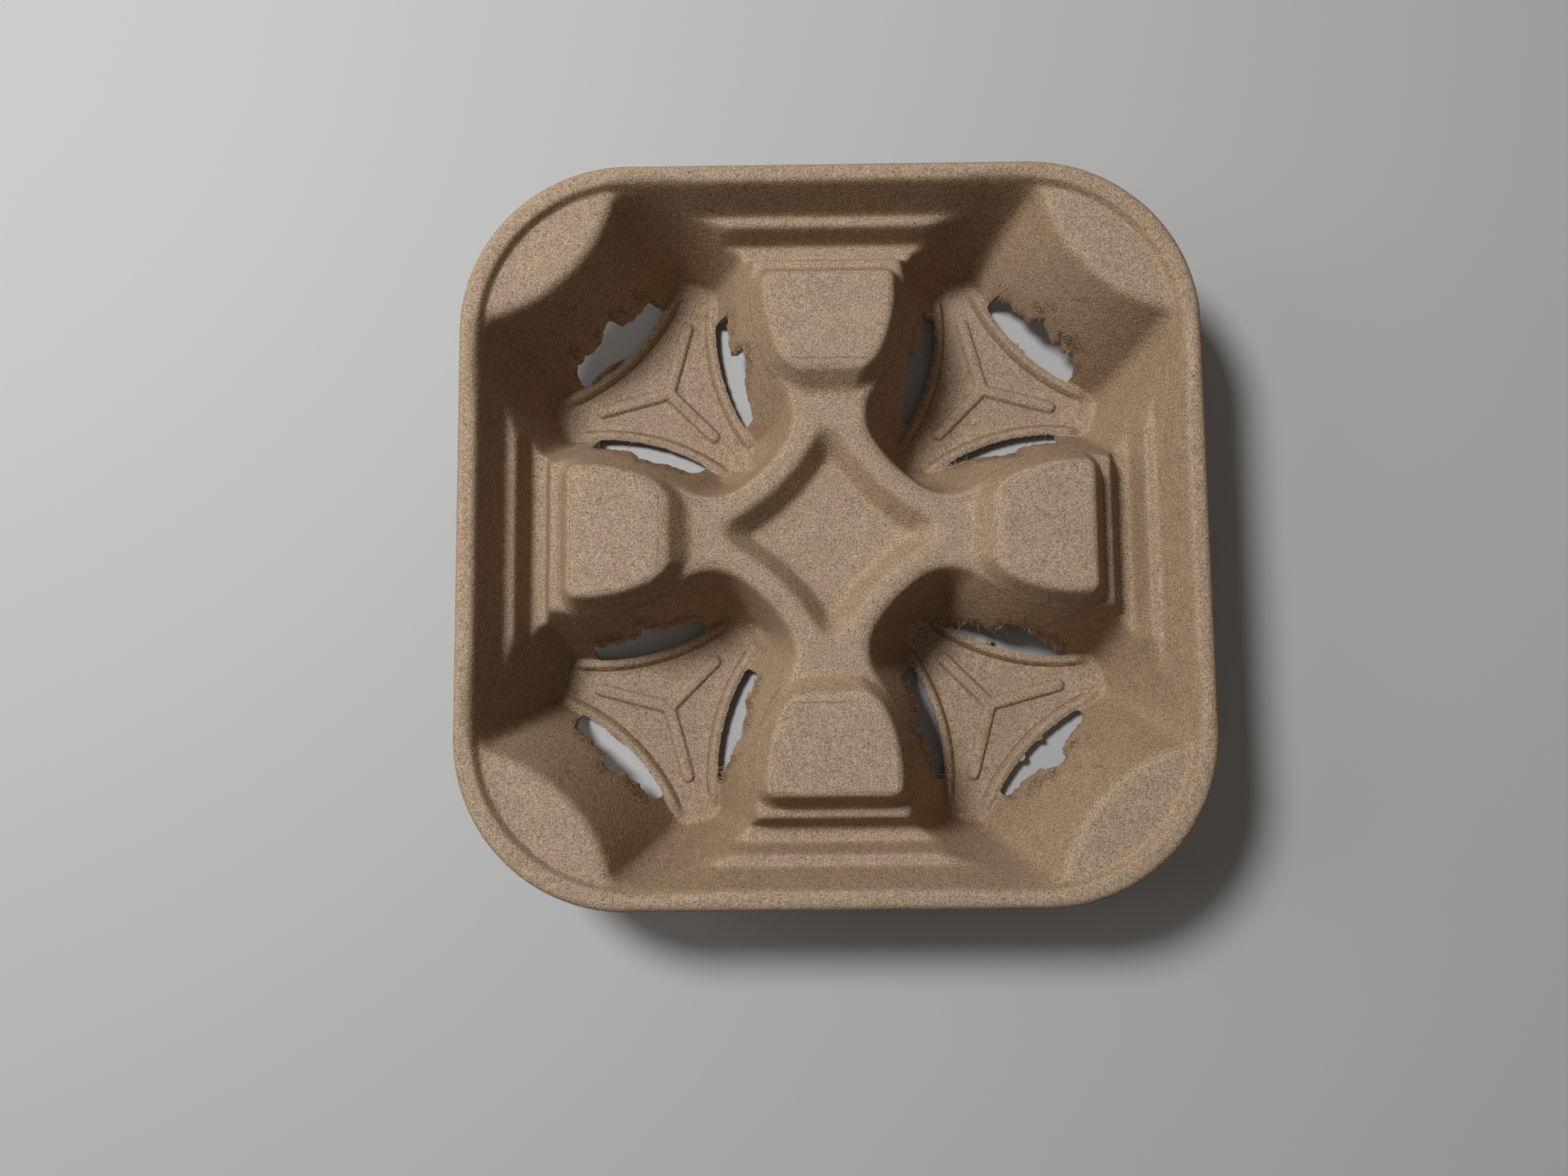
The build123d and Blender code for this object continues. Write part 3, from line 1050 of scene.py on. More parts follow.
    def rolled(self, x: Array, y: Array, top: Array, low: Array) -> Arrays:
        """Both faces with the rim rolled down: past the start of its rounding the sheet turns and hangs.

        Args:
            x: abscissas on the unrolled sheet.
            y: ordinates on the unrolled sheet.
            top: heights of the upper face.
            low: heights of the underside.

        Returns:
            Points of the upper face and of the underside, as rows of three.
        """
        distance, way_x, way_y = self.land.outline(x, y)
        radius = self.land.rim_outer_round
        past = np.maximum(distance + radius, 0)
        turn = np.minimum(past / radius, np.pi / 2)
        drop = np.maximum(past - radius * np.pi / 2, 0)
        out = radius * np.sin(turn) - past
        upper = np.stack([x + way_x * out, y + way_y * out, top - radius * (1 - np.cos(turn)) - drop], -1)
        inward = np.stack([way_x * np.sin(turn), way_y * np.sin(turn), np.cos(turn)], -1)
        under = upper - self.thickness * inward
        under[past <= 0, 2] = np.maximum(low[past <= 0], 0)
        return upper, under

    def surface(self) -> Arrays:
        """Points and triangles of the closed sheet: upper face, underside, and walls along every edge.

        Each cell of the grid is cut along the diagonal that lies nearer to the sheet's edge, and the halves
        outside the sheet are left out.

        Returns:
            Rows of points in millimetres, and rows of three point numbers.
        """
        reach = self.land.half_width + self.unrolled_rim() - self.land.rim_outer_round + self.pitch
        count = int(math.ceil(reach / self.pitch))
        axis = np.arange(-count, count + 1) * self.pitch
        grid_x, grid_y = (side.ravel() for side in np.meshgrid(axis, axis, indexing="ij"))
        size = len(axis)
        regular = self.height(grid_x, grid_y).reshape(size, size)
        x, y = self.snapped(grid_x, grid_y)
        low = self.between(self.underside(regular), x, y, axis[0])
        upper, under = self.rolled(x, y, self.height(x, y), low)
        corner = (np.arange(size - 1)[:, None] * size + np.arange(size - 1)[None, :]).ravel()
        one, two, three, four = corner, corner + size, corner + size + 1, corner + 1
        inward = self.edge_distance(x, y)
        along = np.abs(inward[one]) + np.abs(inward[three]) < np.abs(inward[two]) + np.abs(inward[four])
        first_half = np.stack([one, two, np.where(along, three, four)], -1)
        second_half = np.stack([np.where(along, one, two), three, four], -1)
        halves = np.concatenate([first_half, second_half])
        whole = inward[halves].min(1) > self.least_inward * self.pitch
        halves = halves[whole & (inward[halves].mean(1) > self.mean_inward * self.pitch)]
        starts, ends = halves.ravel(), np.roll(halves, -1, axis=1).ravel()
        below = size**2
        key = np.minimum(starts, ends).astype(np.int64) * below + np.maximum(starts, ends)
        _, first, times = np.unique(key, return_index=True, return_counts=True)
        rim = first[times == 1]
        wall_tops = np.stack([ends[rim], starts[rim], starts[rim] + below], -1)
        wall_feet = np.stack([ends[rim], starts[rim] + below, ends[rim] + below], -1)
        faces = np.concatenate([halves, halves[:, ::-1] + below, wall_tops, wall_feet])
        used, faces = np.unique(faces, return_inverse=True)
        return np.concatenate([upper, under])[used], faces.reshape(-1, 3)

    def build(self, name: str) -> Object:
        """Mesh object of the sheet, thinned out where it is flat, with the material's masks.

        Args:
            name: name of the piece.

        Returns:
            The object, linked to the scene.
        """
        points, faces = self.surface()
        log.info("sheet: %d points, %d triangles before thinning", len(points), len(faces))
        dense = mesh_of(name + "_dense", points * METRES, faces)
        piece = placed(name, dense)
        thinner = piece.modifiers.new("thinner", "DECIMATE")
        thinner.ratio = min(1.0, self.triangle_budget / len(faces))
        graph = bpy.context.evaluated_depsgraph_get()
        mesh = bpy.data.meshes.new_from_object(piece.evaluated_get(graph))
        piece.modifiers.remove(thinner)
        piece.data = mesh
        mesh.name = name
        bpy.data.meshes.remove(dense)
        mesh.polygons.foreach_set("use_smooth", np.ones(len(mesh.polygons), bool))
        mesh.set_sharp_from_angle(angle=math.radians(self.sharp_angle))
        half, top = self.land.half_width * METRES, self.land.crown * METRES
        corners = np.clip(points_of(mesh), (-half, -half, 0), (half, half, top))
        mesh.vertices.foreach_set("co", corners.ravel())
        mesh.update()
        x, y = corners[:, 0] / METRES, corners[:, 1] / METRES
        for attribute, values in self.masks(x, y).items():
            mesh.attributes.new(attribute, "FLOAT", "POINT").data.foreach_set("value", values)
        return piece

    def masks(self, x: Array, y: Array) -> dict[str, Array]:
        """Values that the material reads at each vertex.

        Args:
            x: abscissas.
            y: ordinates.

        Returns:
            By name, distances in millimetres: from the nearest torn edge, from the foot of the beads, from
            the arms of the ribs, from the wells' edges on the platform, and inward from the pads' edges.
            Past the ends of a bead its distance is pushed away from the line at its foot, on both sides.
        """
        radius, angle = self.well.local(x, y)
        on_platform = self.well.outline_distance(radius, angle, np.full_like(x, self.land.platform))
        at_pads = self.well.outline_distance(radius, angle, np.full_like(x, self.pads.level))
        from_arm, from_axis, aside = self.well.floor_place(radius, angle)
        foot = from_axis - self.well.bead_foot
        beyond = aside - self.well.bead_half_angle + self.end_share * self.well.bead_fade
        ends = self.end_slope * np.maximum(beyond, 0)
        return {
            "torn_edge": self.slots.torn_distance(x, y),
            "bead_edge": np.where(foot > BEAD_LINE, foot + ends, foot - ends),
            "rib_edge": from_arm - self.well.rib_half_width,
            "platform_edge": on_platform,
            "pad_edge": self.pads.depth(x, y, at_pads),
        }


@dataclass(frozen=True)
class LooseFibres:
    """Fibres that stand out of the torn edges: thin curved hairs, each a three-sided tube along a bent line.

    Each follows start + s (way) + s^2 (bend), for s from 0 to its length, and its radius shrinks to its tip.
    """

    sheet: CarrierSheet
    seed: int = 7
    per_slot: int = 16
    per_curl: int = 9
    slot_spread: float = 16.5
    curl_spread: float = 0.9
    slot_end: float = 17.2
    root: Pair = (0.15, 0.4)
    droop: float = -0.9
    stray: float = 0.55
    bend: float = 0.28
    lengths: Pair = (0.7, 2.6)
    thicknesses: Pair = (0.05, 0.14)
    tip: float = 0.2
    stations: int = 7
    sides: int = 3
    skew: Triple = (0.3, 0.5, 0.8)

    def roots(self, chance: np.random.Generator) -> Arrays:
        """Where the fibres start on the torn edges, and which way they lean into the slots.

        Args:
            chance: source of the random draws.

        Returns:
            Rows of starts and rows of directions.
        """
        slots = self.sheet.slots
        starts: list[Array] = []
        inward: list[Array] = []
        back, sink = self.root
        for tear in slots.tears:
            along = chance.uniform(-self.slot_spread, self.slot_spread, self.per_slot)
            for curl in tear.curls:
                along = np.concatenate([along, curl + chance.normal(0, self.curl_spread, self.per_curl)])
            along = np.clip(along, -self.slot_end, self.slot_end)
            radius = slots.torn_radius(tear, along) - back
            x, y = slots.tray_place(tear, along, radius)
            ahead_x, ahead_y = slots.tray_place(tear, along, radius + 1)
            starts.append(np.stack([x, y, self.sheet.height(x, y) - sink], -1))
            inward.append(np.stack([ahead_x - x, ahead_y - y, np.full_like(x, self.droop)], -1))
        return np.concatenate(starts), np.concatenate(inward)

    def build(self, name: str) -> Object:
        """Mesh object with all the fibres, linked to the scene.

        Args:
            name: name of the piece.

        Returns:
            The object with the fibres.
        """
        chance = np.random.default_rng(self.seed)
        start, way = self.roots(chance)
        count = len(start)
        way = way + chance.normal(0, self.stray, (count, 3))
        way /= np.linalg.norm(way, axis=1, keepdims=True)
        length = chance.uniform(*self.lengths, count)
        bend = chance.normal(0, self.bend, (count, 3))
        run = np.linspace(0, 1, self.stations)[None, :, None] * length[:, None, None]
        line = start[:, None, :] + run * way[:, None, :] + run**2 * bend[:, None, :]
        turn = np.linspace(0, 2 * np.pi, self.sides, endpoint=False)[None, :, None]
        side = np.cross(way, np.array(self.skew))
        side /= np.linalg.norm(side, axis=1, keepdims=True)
        other = np.cross(way, side)
        ring = np.cos(turn) * side[:, None, :] + np.sin(turn) * other[:, None, :]
        taper = chance.uniform(*self.thicknesses, count)[:, None] * np.linspace(1, self.tip, self.stations)
        points = line[:, :, None, :] + taper[:, :, None, None] * ring[:, None, :, :]
        index = np.arange(count * self.stations * self.sides).reshape(count, self.stations, self.sides)
        here, ahead = index[:, :-1], index[:, 1:]
        quads = np.stack([here, np.roll(here, -1, axis=2), np.roll(ahead, -1, axis=2), ahead], -1)
        return placed(name, mesh_of(name, points.reshape(-1, 3) * METRES, quads.reshape(-1, 4)))


def mesh_of(name: str, points: Array, faces: Array) -> bpy.types.Mesh:
    """Mesh from rows of points and rows of point numbers, one row for each face.

    Args:
        name: name of the mesh.
        points: rows of points, in metres.
        faces: rows of point numbers.

    Returns:
        The mesh, shaded smooth.
    """
    mesh = bpy.data.meshes.new(name)
    mesh.vertices.add(len(points))
    mesh.vertices.foreach_set("co", points.ravel())
    mesh.loops.add(faces.size)
    mesh.loops.foreach_set("vertex_index", faces.ravel())
    mesh.polygons.add(len(faces))
    mesh.polygons.foreach_set("loop_start", np.arange(0, faces.size, faces.shape[1]))
    mesh.polygons.foreach_set("use_smooth", np.ones(len(faces), bool))
    mesh.update(calc_edges=True)
    return mesh


def points_of(mesh: bpy.types.Mesh) -> Array:
    """Rows of a mesh's points, in metres.

    Args:
        mesh: the mesh that is read.

    Returns:
        One row of three for each point.
    """
    flat = np.empty(3 * len(mesh.vertices))
    mesh.vertices.foreach_get("co", flat)
    return flat.reshape(-1, 3)


def placed(name: str, content: bpy.types.ID) -> Object:
    """New object with a mesh, light or camera in it, linked to the scene.

    Args:
        name: name of the object.
        content: what the object holds.

    Returns:
        The new object.
    """
    made = bpy.data.objects.new(name, content)
    bpy.context.scene.collection.objects.link(made)
    return made


class Graph:
    """Short hand for building a node tree: every input may be a constant or another node's output."""

    def __init__(self, tree: bpy.types.NodeTree) -> None:
        """Starts on a tree.

        Args:
            tree: the node tree that is filled.
        """
        self.tree = tree

    def node(self, kind: str, settings: dict[str, object] | None = None, **inputs: Value) -> Node:
        """Adds a node.

        Args:
            kind: the node's type.
            settings: properties of the node.
            inputs: sockets by name, with underscores for spaces.

        Returns:
            The new node.
        """
        made = self.tree.nodes.new(kind)
        for key, setting in (settings or {}).items():
            setattr(made, key, setting)
        for key, value in inputs.items():
            self.feed(made.inputs[key.replace("_", " ")], value)
        return made

    def feed(self, socket: Socket, value: Value) -> None:
        """Links an output to a socket, or sets the socket to a constant.

        Args:
            socket: the input.
            value: a constant or an output.
        """
        if isinstance(value, Socket):
            self.tree.links.new(value, socket)
        else:
            socket.default_value = value

    def math(self, operation: str, *values: Value, kind: str = "ShaderNodeMath") -> Socket:
        """Output of a Math node, or of a Vector Math node where that kind is asked for.

        Args:
            operation: what the node works out.
            values: constants or outputs, in order.
            kind: type of the node.

        Returns:
            The node's first output.
        """
        made = self.node(kind, {"operation": operation})
        for socket, value in zip(made.inputs, values):
            self.feed(socket, value)
        return made.outputs[0]

    def vector(self, operation: str, *values: Value) -> Socket:
        """Output of a Vector Math node."""
        return self.math(operation, *values, kind="ShaderNodeVectorMath")

    def chain(self, operation: str, *values: Value) -> Socket:
        """Output of Math nodes in a row, each of which takes in one more value.

        Args:
            operation: what the node works out.
            values: constants or outputs, in order.

        Returns:
            Output of the last node.
        """
        whole = values[0]
        for value in values[1:]:
            whole = self.math(operation, whole, value)
        return whole

    def times(self, *values: Value) -> Socket:
        """Product of the values."""
        return self.chain("MULTIPLY", *values)

    def scaled(self, value: Value, factor: Value, shift: Value) -> Socket:
        """A value times a factor, plus a shift."""
        return self.math("MULTIPLY_ADD", value, factor, shift)

    def centred(self, value: Value, span: float) -> Socket:
        """A value from 0 to 1 spread over a span about 0."""
        return self.scaled(value, span, -span / 2)

    def gap(self, value: Value, level: float) -> Socket:
        """How far a value is from a level."""
        return self.math("ABSOLUTE", self.math("SUBTRACT", value, level))

    def mix(self, factor: Value, one: Value, two: Value, blend: str = "MIX") -> Socket:
        """Output of a Mix node between two colours.

        Args:
            factor: share of the second colour.
            one: first colour.
            two: second colour.
            blend: how the colours are mixed.

        Returns:
            The mixed colour.
        """
        made = self.node("ShaderNodeMix", {"data_type": "RGBA", "blend_type": blend})
        for socket, value in zip((made.inputs[0], made.inputs[6], made.inputs[7]), (factor, one, two)):
            self.feed(socket, value)
        return made.outputs[2]

    def laid(self, colour: Value, tone: Value, mask: Value, share: float) -> Socket:
        """A colour with a tone laid over it where a mask is, by a share."""
        return self.mix(self.times(mask, share), colour, tone)

    def shaded(self, colour: Value, light: Value) -> Socket:
        """A colour made darker or lighter by a grey value."""
        shade = self.node("ShaderNodeCombineColor", Red=light, Green=light, Blue=light).outputs[0]
        return self.mix(1.0, colour, shade, "MULTIPLY")

    def ramp(self, value: Value, low: float, high: float) -> Socket:
        """Smooth step of a value from 0 at low to 1 at high.

        Args:
            value: a constant or an output.
            low: value at which the step starts.
            high: value at which the step ends.

        Returns:
            The stepped value.
        """
        made = self.node("ShaderNodeMapRange", {"interpolation_type": "SMOOTHSTEP"}, Value=value)
        made.inputs["From Min"].default_value = low
        made.inputs["From Max"].default_value = high
        return made.outputs[0]

    def noise(self, vector: Value, settings: Triple) -> Socket:
        """Grey value of a Noise texture with the given scale, detail and roughness.

        Args:
            vector: coordinates of the texture.
            settings: scale, detail and roughness.

        Returns:
            The grey value.
        """
        scale, detail, roughness = settings
        made = self.node("ShaderNodeTexNoise", Vector=vector, Scale=scale, Detail=detail)
        made.inputs["Roughness"].default_value = roughness
        return made.outputs["Fac"]

    def attribute(self, name: str) -> Socket:
        """Value of one of the mesh's masks."""
        return self.node("ShaderNodeAttribute", {"attribute_name": name}).outputs["Fac"]


@dataclass(frozen=True)
class Crease:
    """One kind of hairline crease: a line of painted shade, sunk a little in the bump, at one distance from
    an edge, kept to the face at one level.

    Attributes:
        edge: mask with the distance.
        place: distance at which the line runs.
        width: half its width.
        level: height of the face.
        band: distances from that level at which the line is gone and at which it is whole.
        wobble: how much noise shifts the line.
        breaks: what breaks the line.
        strength: how strong the line is.
    """

    edge: str
    place: float
    width: float
    level: float
    band: Pair
    wobble: float = 0.0
    breaks: Breaks = Breaks.WHOLE
    strength: float = 1.0


CREASES = (
    Crease("platform_edge", 1.7, 0.13, 36.8, (1.3, 0.8), wobble=1.0, breaks=Breaks.BROKEN),
    Crease("platform_edge", 2.6, 0.13, 36.8, (1.3, 0.8), wobble=1.0, breaks=Breaks.PATCHY),
    Crease("pad_edge", 1.1, 0.11, 44.5, (1.6, 1.0), wobble=0.4, breaks=Breaks.BROKEN),
    Crease("pad_edge", -4.5, 0.45, 34.9, (1.5, 0.9), wobble=0.2, strength=0.6),
    Crease("bead_edge", BEAD_LINE, 0.34, 0.0, (7.0, 5.5)),
    Crease("rib_edge", 0.15, 0.3, 0.0, (7.0, 5.5), strength=0.55),
)


@dataclass(frozen=True)
class PulpFinish:
    """Look of the moulded pulp: colours are linear, lengths millimetres.

    A noise is (scale, detail, roughness). Flecks are (angle, shift, level at which the noise is cut off).
    Torn layers are (distance from the torn edge, half the line's width).
    """

    tone: Colour = (0.345, 0.252, 0.172, 1.0)
    pale_tone: Colour = (0.398, 0.296, 0.205, 1.0)
    rosy_tone: Colour = (0.378, 0.264, 0.202, 1.0)
    # Colour of the dark fibres, also painted as shade in the gaps under torn layers.
    fibre_and_gap_shade_tone: Colour = (0.100, 0.064, 0.038, 1.0)
    light_fibre_tone: Colour = (0.560, 0.450, 0.345, 1.0)
    speck_tone: Colour = (0.050, 0.033, 0.022, 1.0)
    torn_tone: Colour = (0.390, 0.290, 0.205, 1.0)
    # Painted shade in the hairline creases.
    crease_shade_tone: Colour = (0.130, 0.085, 0.052, 1.0)
    # Painted shade: steep faces are multiplied by the wall shade, level faces by the white level tone.
    wall_shade: Colour = (0.87, 0.825, 0.755, 1.0)
    level_unshaded: Colour = (1.0, 1.0, 1.0, 1.0)
    level_range: Pair = (0.5, 0.95)
    roughness: float = 0.92
    specular: float = 0.16
    mottle_noise: Triple = (0.3, 3.0, 0.65)
    mottle_range: Pair = (0.3, 0.7)
    patch_noise: Triple = (0.16, 3.0, 0.62)
    patch_range: Pair = (0.4, 0.64)
    patch_share: float = 0.4
    grain_noise: Triple = (1.85, 1.5, 0.65)
    grain_depth: float = 2.05
    dark_flecks: tuple[Triple, ...] = ((0.3, 0.0, 0.69), (1.9, 7.0, 0.69))
    dark_share: float = 0.6
    light_flecks: Triple = (1.1, 31.0, 0.68)
    light_share: float = 0.45
    fleck_stretch: Triple = (0.5, 3.2, 3.2)
    fleck_noise: Triple = (1.0, 1.0, 0.4)
    fleck_edge: float = 0.05
    speck_scale: float = 0.42
    speck_radii: Pair = (0.13, 0.06)
    speck_rarity: float = 0.84
    screen_pitch: float = 0.62
    screen_depth: float = 0.13
    screen_noise: Pair = (0.2, 1.0)
    screen_drift: Triple = (1.1, 1.1, 0.0)
    screen_clear: Pair = (0.6, 0.4)
    line_core: float = 0.3
    fray_span: float = 1.2
    fray_range: Pair = (0.7, 0.25)
    fray_share: float = 0.6
    layer_lines: tuple[Pair, ...] = ((0.7, 0.3), (1.5, 0.24), (2.4, 0.2))
    layer_noise: Triple = (0.42, 2.0, 0.6)
    layer_span: float = 4.4
    layer_fray: float = 0.3
    layer_reach: Pair = (3.9, 1.6)
    layer_gaps: Triple = (0.11, 1.0, 0.5)
    layer_gap_range: Pair = (0.44, 0.54)
    layer_shade_share: float = 0.7
    creases: tuple[Crease, ...] = CREASES
    crease_noise: Triple = (0.3, 2.0, 0.6)
    crease_span: float = 2.2
    crease_gaps: Triple = (0.13, 1.0, 0.5)
    crease_gap_range: Pair = (0.42, 0.52)
    crease_shade_share: float = 0.5
    lump_noise: Triple = (0.6, 2.0, 0.5)
    lump_relief: float = 0.8
    grain_relief: float = 0.9
    screen_relief: float = 0.16
    layer_relief: float = -0.7
    crease_relief: float = -0.6
    bump_strength: float = 0.6
    bump_distance: float = 0.4
    loose_paleness: float = 0.5


def pulp_tone_group(finish: PulpFinish) -> bpy.types.NodeTree:
    """Node group for the colour of raw pulp, shared by the sheet and the loose fibres.

    Broad mottling runs between the finish's two tones, rosy patches lie over it, and fine grain darkens and
    lightens it.

    Args:
        finish: colours of the pulp.

    Returns:
        The group, with the input Place (millimetres) and the outputs Color, Grain and Patch.
    """
    group = bpy.data.node_groups.new("pulp_tone", "ShaderNodeTree")
    group.interface.new_socket("Place", in_out="INPUT", socket_type="NodeSocketVector")
    outputs = {"Color": "NodeSocketColor", "Grain": "NodeSocketFloat", "Patch": "NodeSocketFloat"}
    for name, kind in outputs.items():
        group.interface.new_socket(name, in_out="OUTPUT", socket_type=kind)
    graph = Graph(group)
    place = graph.node("NodeGroupInput").outputs["Place"]
    mottle = graph.ramp(graph.noise(place, finish.mottle_noise), *finish.mottle_range)
    colour = graph.mix(mottle, finish.tone, finish.pale_tone)
    patch = graph.ramp(graph.noise(place, finish.patch_noise), *finish.patch_range)
    colour = graph.laid(colour, finish.rosy_tone, patch, finish.patch_share)
    grain = graph.noise(place, finish.grain_noise)
    colour = graph.shaded(colour, graph.scaled(grain, finish.grain_depth, 1 - finish.grain_depth / 2))
    graph.node("NodeGroupOutput", Color=colour, Grain=grain, Patch=patch)
    return group


def place_in_millimetres(graph: Graph) -> Socket:
    """Object coordinates, in millimetres.

    Args:
        graph: node graph of the material.

    Returns:
        The scaled coordinates.
    """
    made = graph.node("ShaderNodeVectorMath", {"operation": "SCALE"}, Scale=1 / METRES)
    graph.feed(made.inputs[0], graph.node("ShaderNodeTexCoord").outputs["Object"])
    return made.outputs[0]


def principled(name: str, roughness: float) -> tuple[Material, Node]:
    """New material and its Principled shader.

    Args:
        name: name of the material.
        roughness: roughness of the shader.

    Returns:
        The material and the shader.
    """
    material = bpy.data.materials.new(name)
    material.use_nodes = True
    shader = material.node_tree.nodes["Principled BSDF"]
    shader.inputs["Roughness"].default_value = roughness
    return material, shader


class PulpMaterials:
    """The two materials of the carrier: the pressed sheet, and the fibres torn loose from it."""

    def __init__(self, finish: PulpFinish) -> None:
        """Keeps the finish and makes the shared colour group.

        Args:
            finish: look of the pulp.
        """
        self.finish = finish
        self.tone = pulp_tone_group(finish)

    def new(self, name: str) -> tuple[Material, Graph, Node]:
        """New material with its node graph and its Principled shader.

        Args:
            name: name of the material.

        Returns:
            The material, its graph and its shader.
        """
        material, shader = principled(name, self.finish.roughness)
        shader.inputs["Specular IOR Level"].default_value = self.finish.specular
        return material, Graph(material.node_tree), shader

    def base(self, graph: Graph, place: Socket) -> Node:
        """Raw pulp at a place: a node with the outputs of the shared group."""
        return graph.node("ShaderNodeGroup", {"node_tree": self.tone}, Place=place)

    def flecks(self, graph: Graph, place: Socket, flecks: Triple) -> Socket:
        """Mask of short straight fibres that lie one way: noise stretched along it and cut off high.

        Args:
            graph: node graph of the material.
            place: coordinates in millimetres.
            flecks: angle, shift and level at which the noise is cut off.

        Returns:
            The mask.
        """
        angle, shift, sharp = flecks
        turned = graph.node("ShaderNodeVectorRotate", {"rotation_type": "Z_AXIS"}, Vector=place, Angle=angle)
        stretched = graph.vector("MULTIPLY", turned.outputs[0], self.finish.fleck_stretch)
        moved = graph.vector("ADD", stretched, (shift, 2 * shift, 0.0))
        return graph.ramp(graph.noise(moved, self.finish.fleck_noise), sharp, sharp + self.finish.fleck_edge)

    def specks(self, graph: Graph, place: Socket) -> Socket:
        """Mask of small dark specks: the hearts of a few cells of a Voronoi pattern.

        Args:
            graph: node graph of the material.
            place: coordinates in millimetres.

        Returns:
            The mask.
        """
        cells = graph.node("ShaderNodeTexVoronoi", Vector=place, Scale=self.finish.speck_scale)
        heart = graph.ramp(cells.outputs["Distance"], *self.finish.speck_radii)
        chance = graph.node("ShaderNodeSeparateColor", Color=cells.outputs["Color"]).outputs[0]
        return graph.times(heart, graph.math("GREATER_THAN", chance, self.finish.speck_rarity))

    def screen(self, graph: Graph, place: Socket) -> Socket:
        """Imprint of the forming screen: two sets of wavy ridges across each other, from -1 to 1.

        Args:
            graph: node graph of the material.
            place: coordinates in millimetres.

        Returns:
            The imprint's height.
        """
        scale, detail = self.finish.screen_noise
        drift = graph.node("ShaderNodeTexNoise", Vector=place, Scale=scale, Detail=detail).outputs["Color"]
        wavy = graph.vector("MULTIPLY_ADD", drift, self.finish.screen_drift, place)
        parts = graph.node("ShaderNodeSeparateXYZ", Vector=wavy)
        number = 2 * math.pi / self.finish.screen_pitch
        across, along = (graph.math("SINE", graph.times(part, number)) for part in parts.outputs[:2])
        return graph.scaled(across, 0.5, graph.times(along, 0.5))

    def line(self, graph: Graph, distance: Socket, place: float, width: float) -> Socket:
        """Mask of a thin line where a distance has one value."""
        return graph.ramp(graph.gap(distance, place), width, self.finish.line_core * width)

    def torn(self, graph: Graph, place: Socket, grain: Socket) -> tuple[Socket, Socket]:
        """Masks of the edges of torn layers, where the shade of the gaps under them is painted, and of the
        frayed pulp beside a torn edge.

        The layers end in wandering lines: the distance from the torn edge, shifted by noise, has one of
        three values there. Broad noise leaves them out in places.

        Args:
            graph: node graph of the material.
            place: coordinates in millimetres.
            grain: grey value of the pulp's grain.

        Returns:
            The mask of the layers' edges, for painted shade and a dip in the bump, and the mask of the
            frayed pulp.
        """
        finish = self.finish
        distance = graph.attribute("torn_edge")
        fine = graph.centred(grain, finish.fray_span)
        wander = graph.centred(graph.noise(place, finish.layer_noise), finish.layer_span)
        ragged = graph.scaled(fine, finish.layer_fray, graph.math("ADD", distance, wander))
        beside = graph.ramp(distance, *finish.layer_reach)
        kept = graph.ramp(graph.noise(place, finish.layer_gaps), *finish.layer_gap_range)
        lines = graph.chain("MAXIMUM", *(self.line(graph, ragged, *line) for line in finish.layer_lines))
        frayed = graph.ramp(graph.math("ADD", distance, fine), *finish.fray_range)
        return graph.times(lines, graph.times(beside, kept)), frayed

    def creases(self, graph: Graph, place: Socket, patch: Socket) -> Socket:
        """Mask of the hairline creases beside the wells, on and below the pads, and at beads and ribs, where
        shade is painted and the bump sinks.

        Those beside the wells and at the pads are made wavy by noise.

        Args:
            graph: node graph of the material.
            place: coordinates in millimetres.
            patch: mask of the rosy patches.

        Returns:
            The mask.
        """
        finish = self.finish
        wobble = graph.centred(graph.noise(place, finish.crease_noise), finish.crease_span)
        height = graph.node("ShaderNodeSeparateXYZ", Vector=place).outputs[2]
        broken = graph.ramp(graph.noise(place, finish.crease_gaps), *finish.crease_gap_range)
        kept = {Breaks.WHOLE: 1.0, Breaks.BROKEN: broken, Breaks.PATCHY: patch}
        masks = []
        for crease in finish.creases:
            wavy = graph.scaled(wobble, crease.wobble, graph.attribute(crease.edge))
            line = self.line(graph, wavy, crease.place, crease.width)
            face = graph.ramp(graph.gap(height, crease.level), *crease.band)
            masks.append(graph.times(line, face, kept[crease.breaks], crease.strength))
        return graph.chain("MAXIMUM", *masks)

    def sheet(self) -> Material:
        """Material of the pressed sheet.

        Returns:
            The material.
        """
        material, graph, shader = self.new("pulp")
        finish = self.finish
        place = place_in_millimetres(graph)
        pulp = self.base(graph, place)
        colour, grain, patch = (pulp.outputs[name] for name in ("Color", "Grain", "Patch"))
        for flecks in finish.dark_flecks:
            dark = self.flecks(graph, place, flecks)
            colour = graph.laid(colour, finish.fibre_and_gap_shade_tone, dark, finish.dark_share)
        light = self.flecks(graph, place, finish.light_flecks)
        colour = graph.laid(colour, finish.light_fibre_tone, light, finish.light_share)
        colour = graph.mix(self.specks(graph, place), colour, finish.speck_tone)
        layers, frayed = self.torn(graph, place, grain)
        colour = graph.laid(colour, finish.torn_tone, frayed, finish.fray_share)
        # Painted shade: the gaps under the edges of torn layers are darkened.
        colour = graph.laid(colour, finish.fibre_and_gap_shade_tone, layers, finish.layer_shade_share)
        creases = self.creases(graph, place, patch)
        # Painted shade: the hairline creases are darkened.
        colour = graph.laid(colour, finish.crease_shade_tone, creases, finish.crease_shade_share)
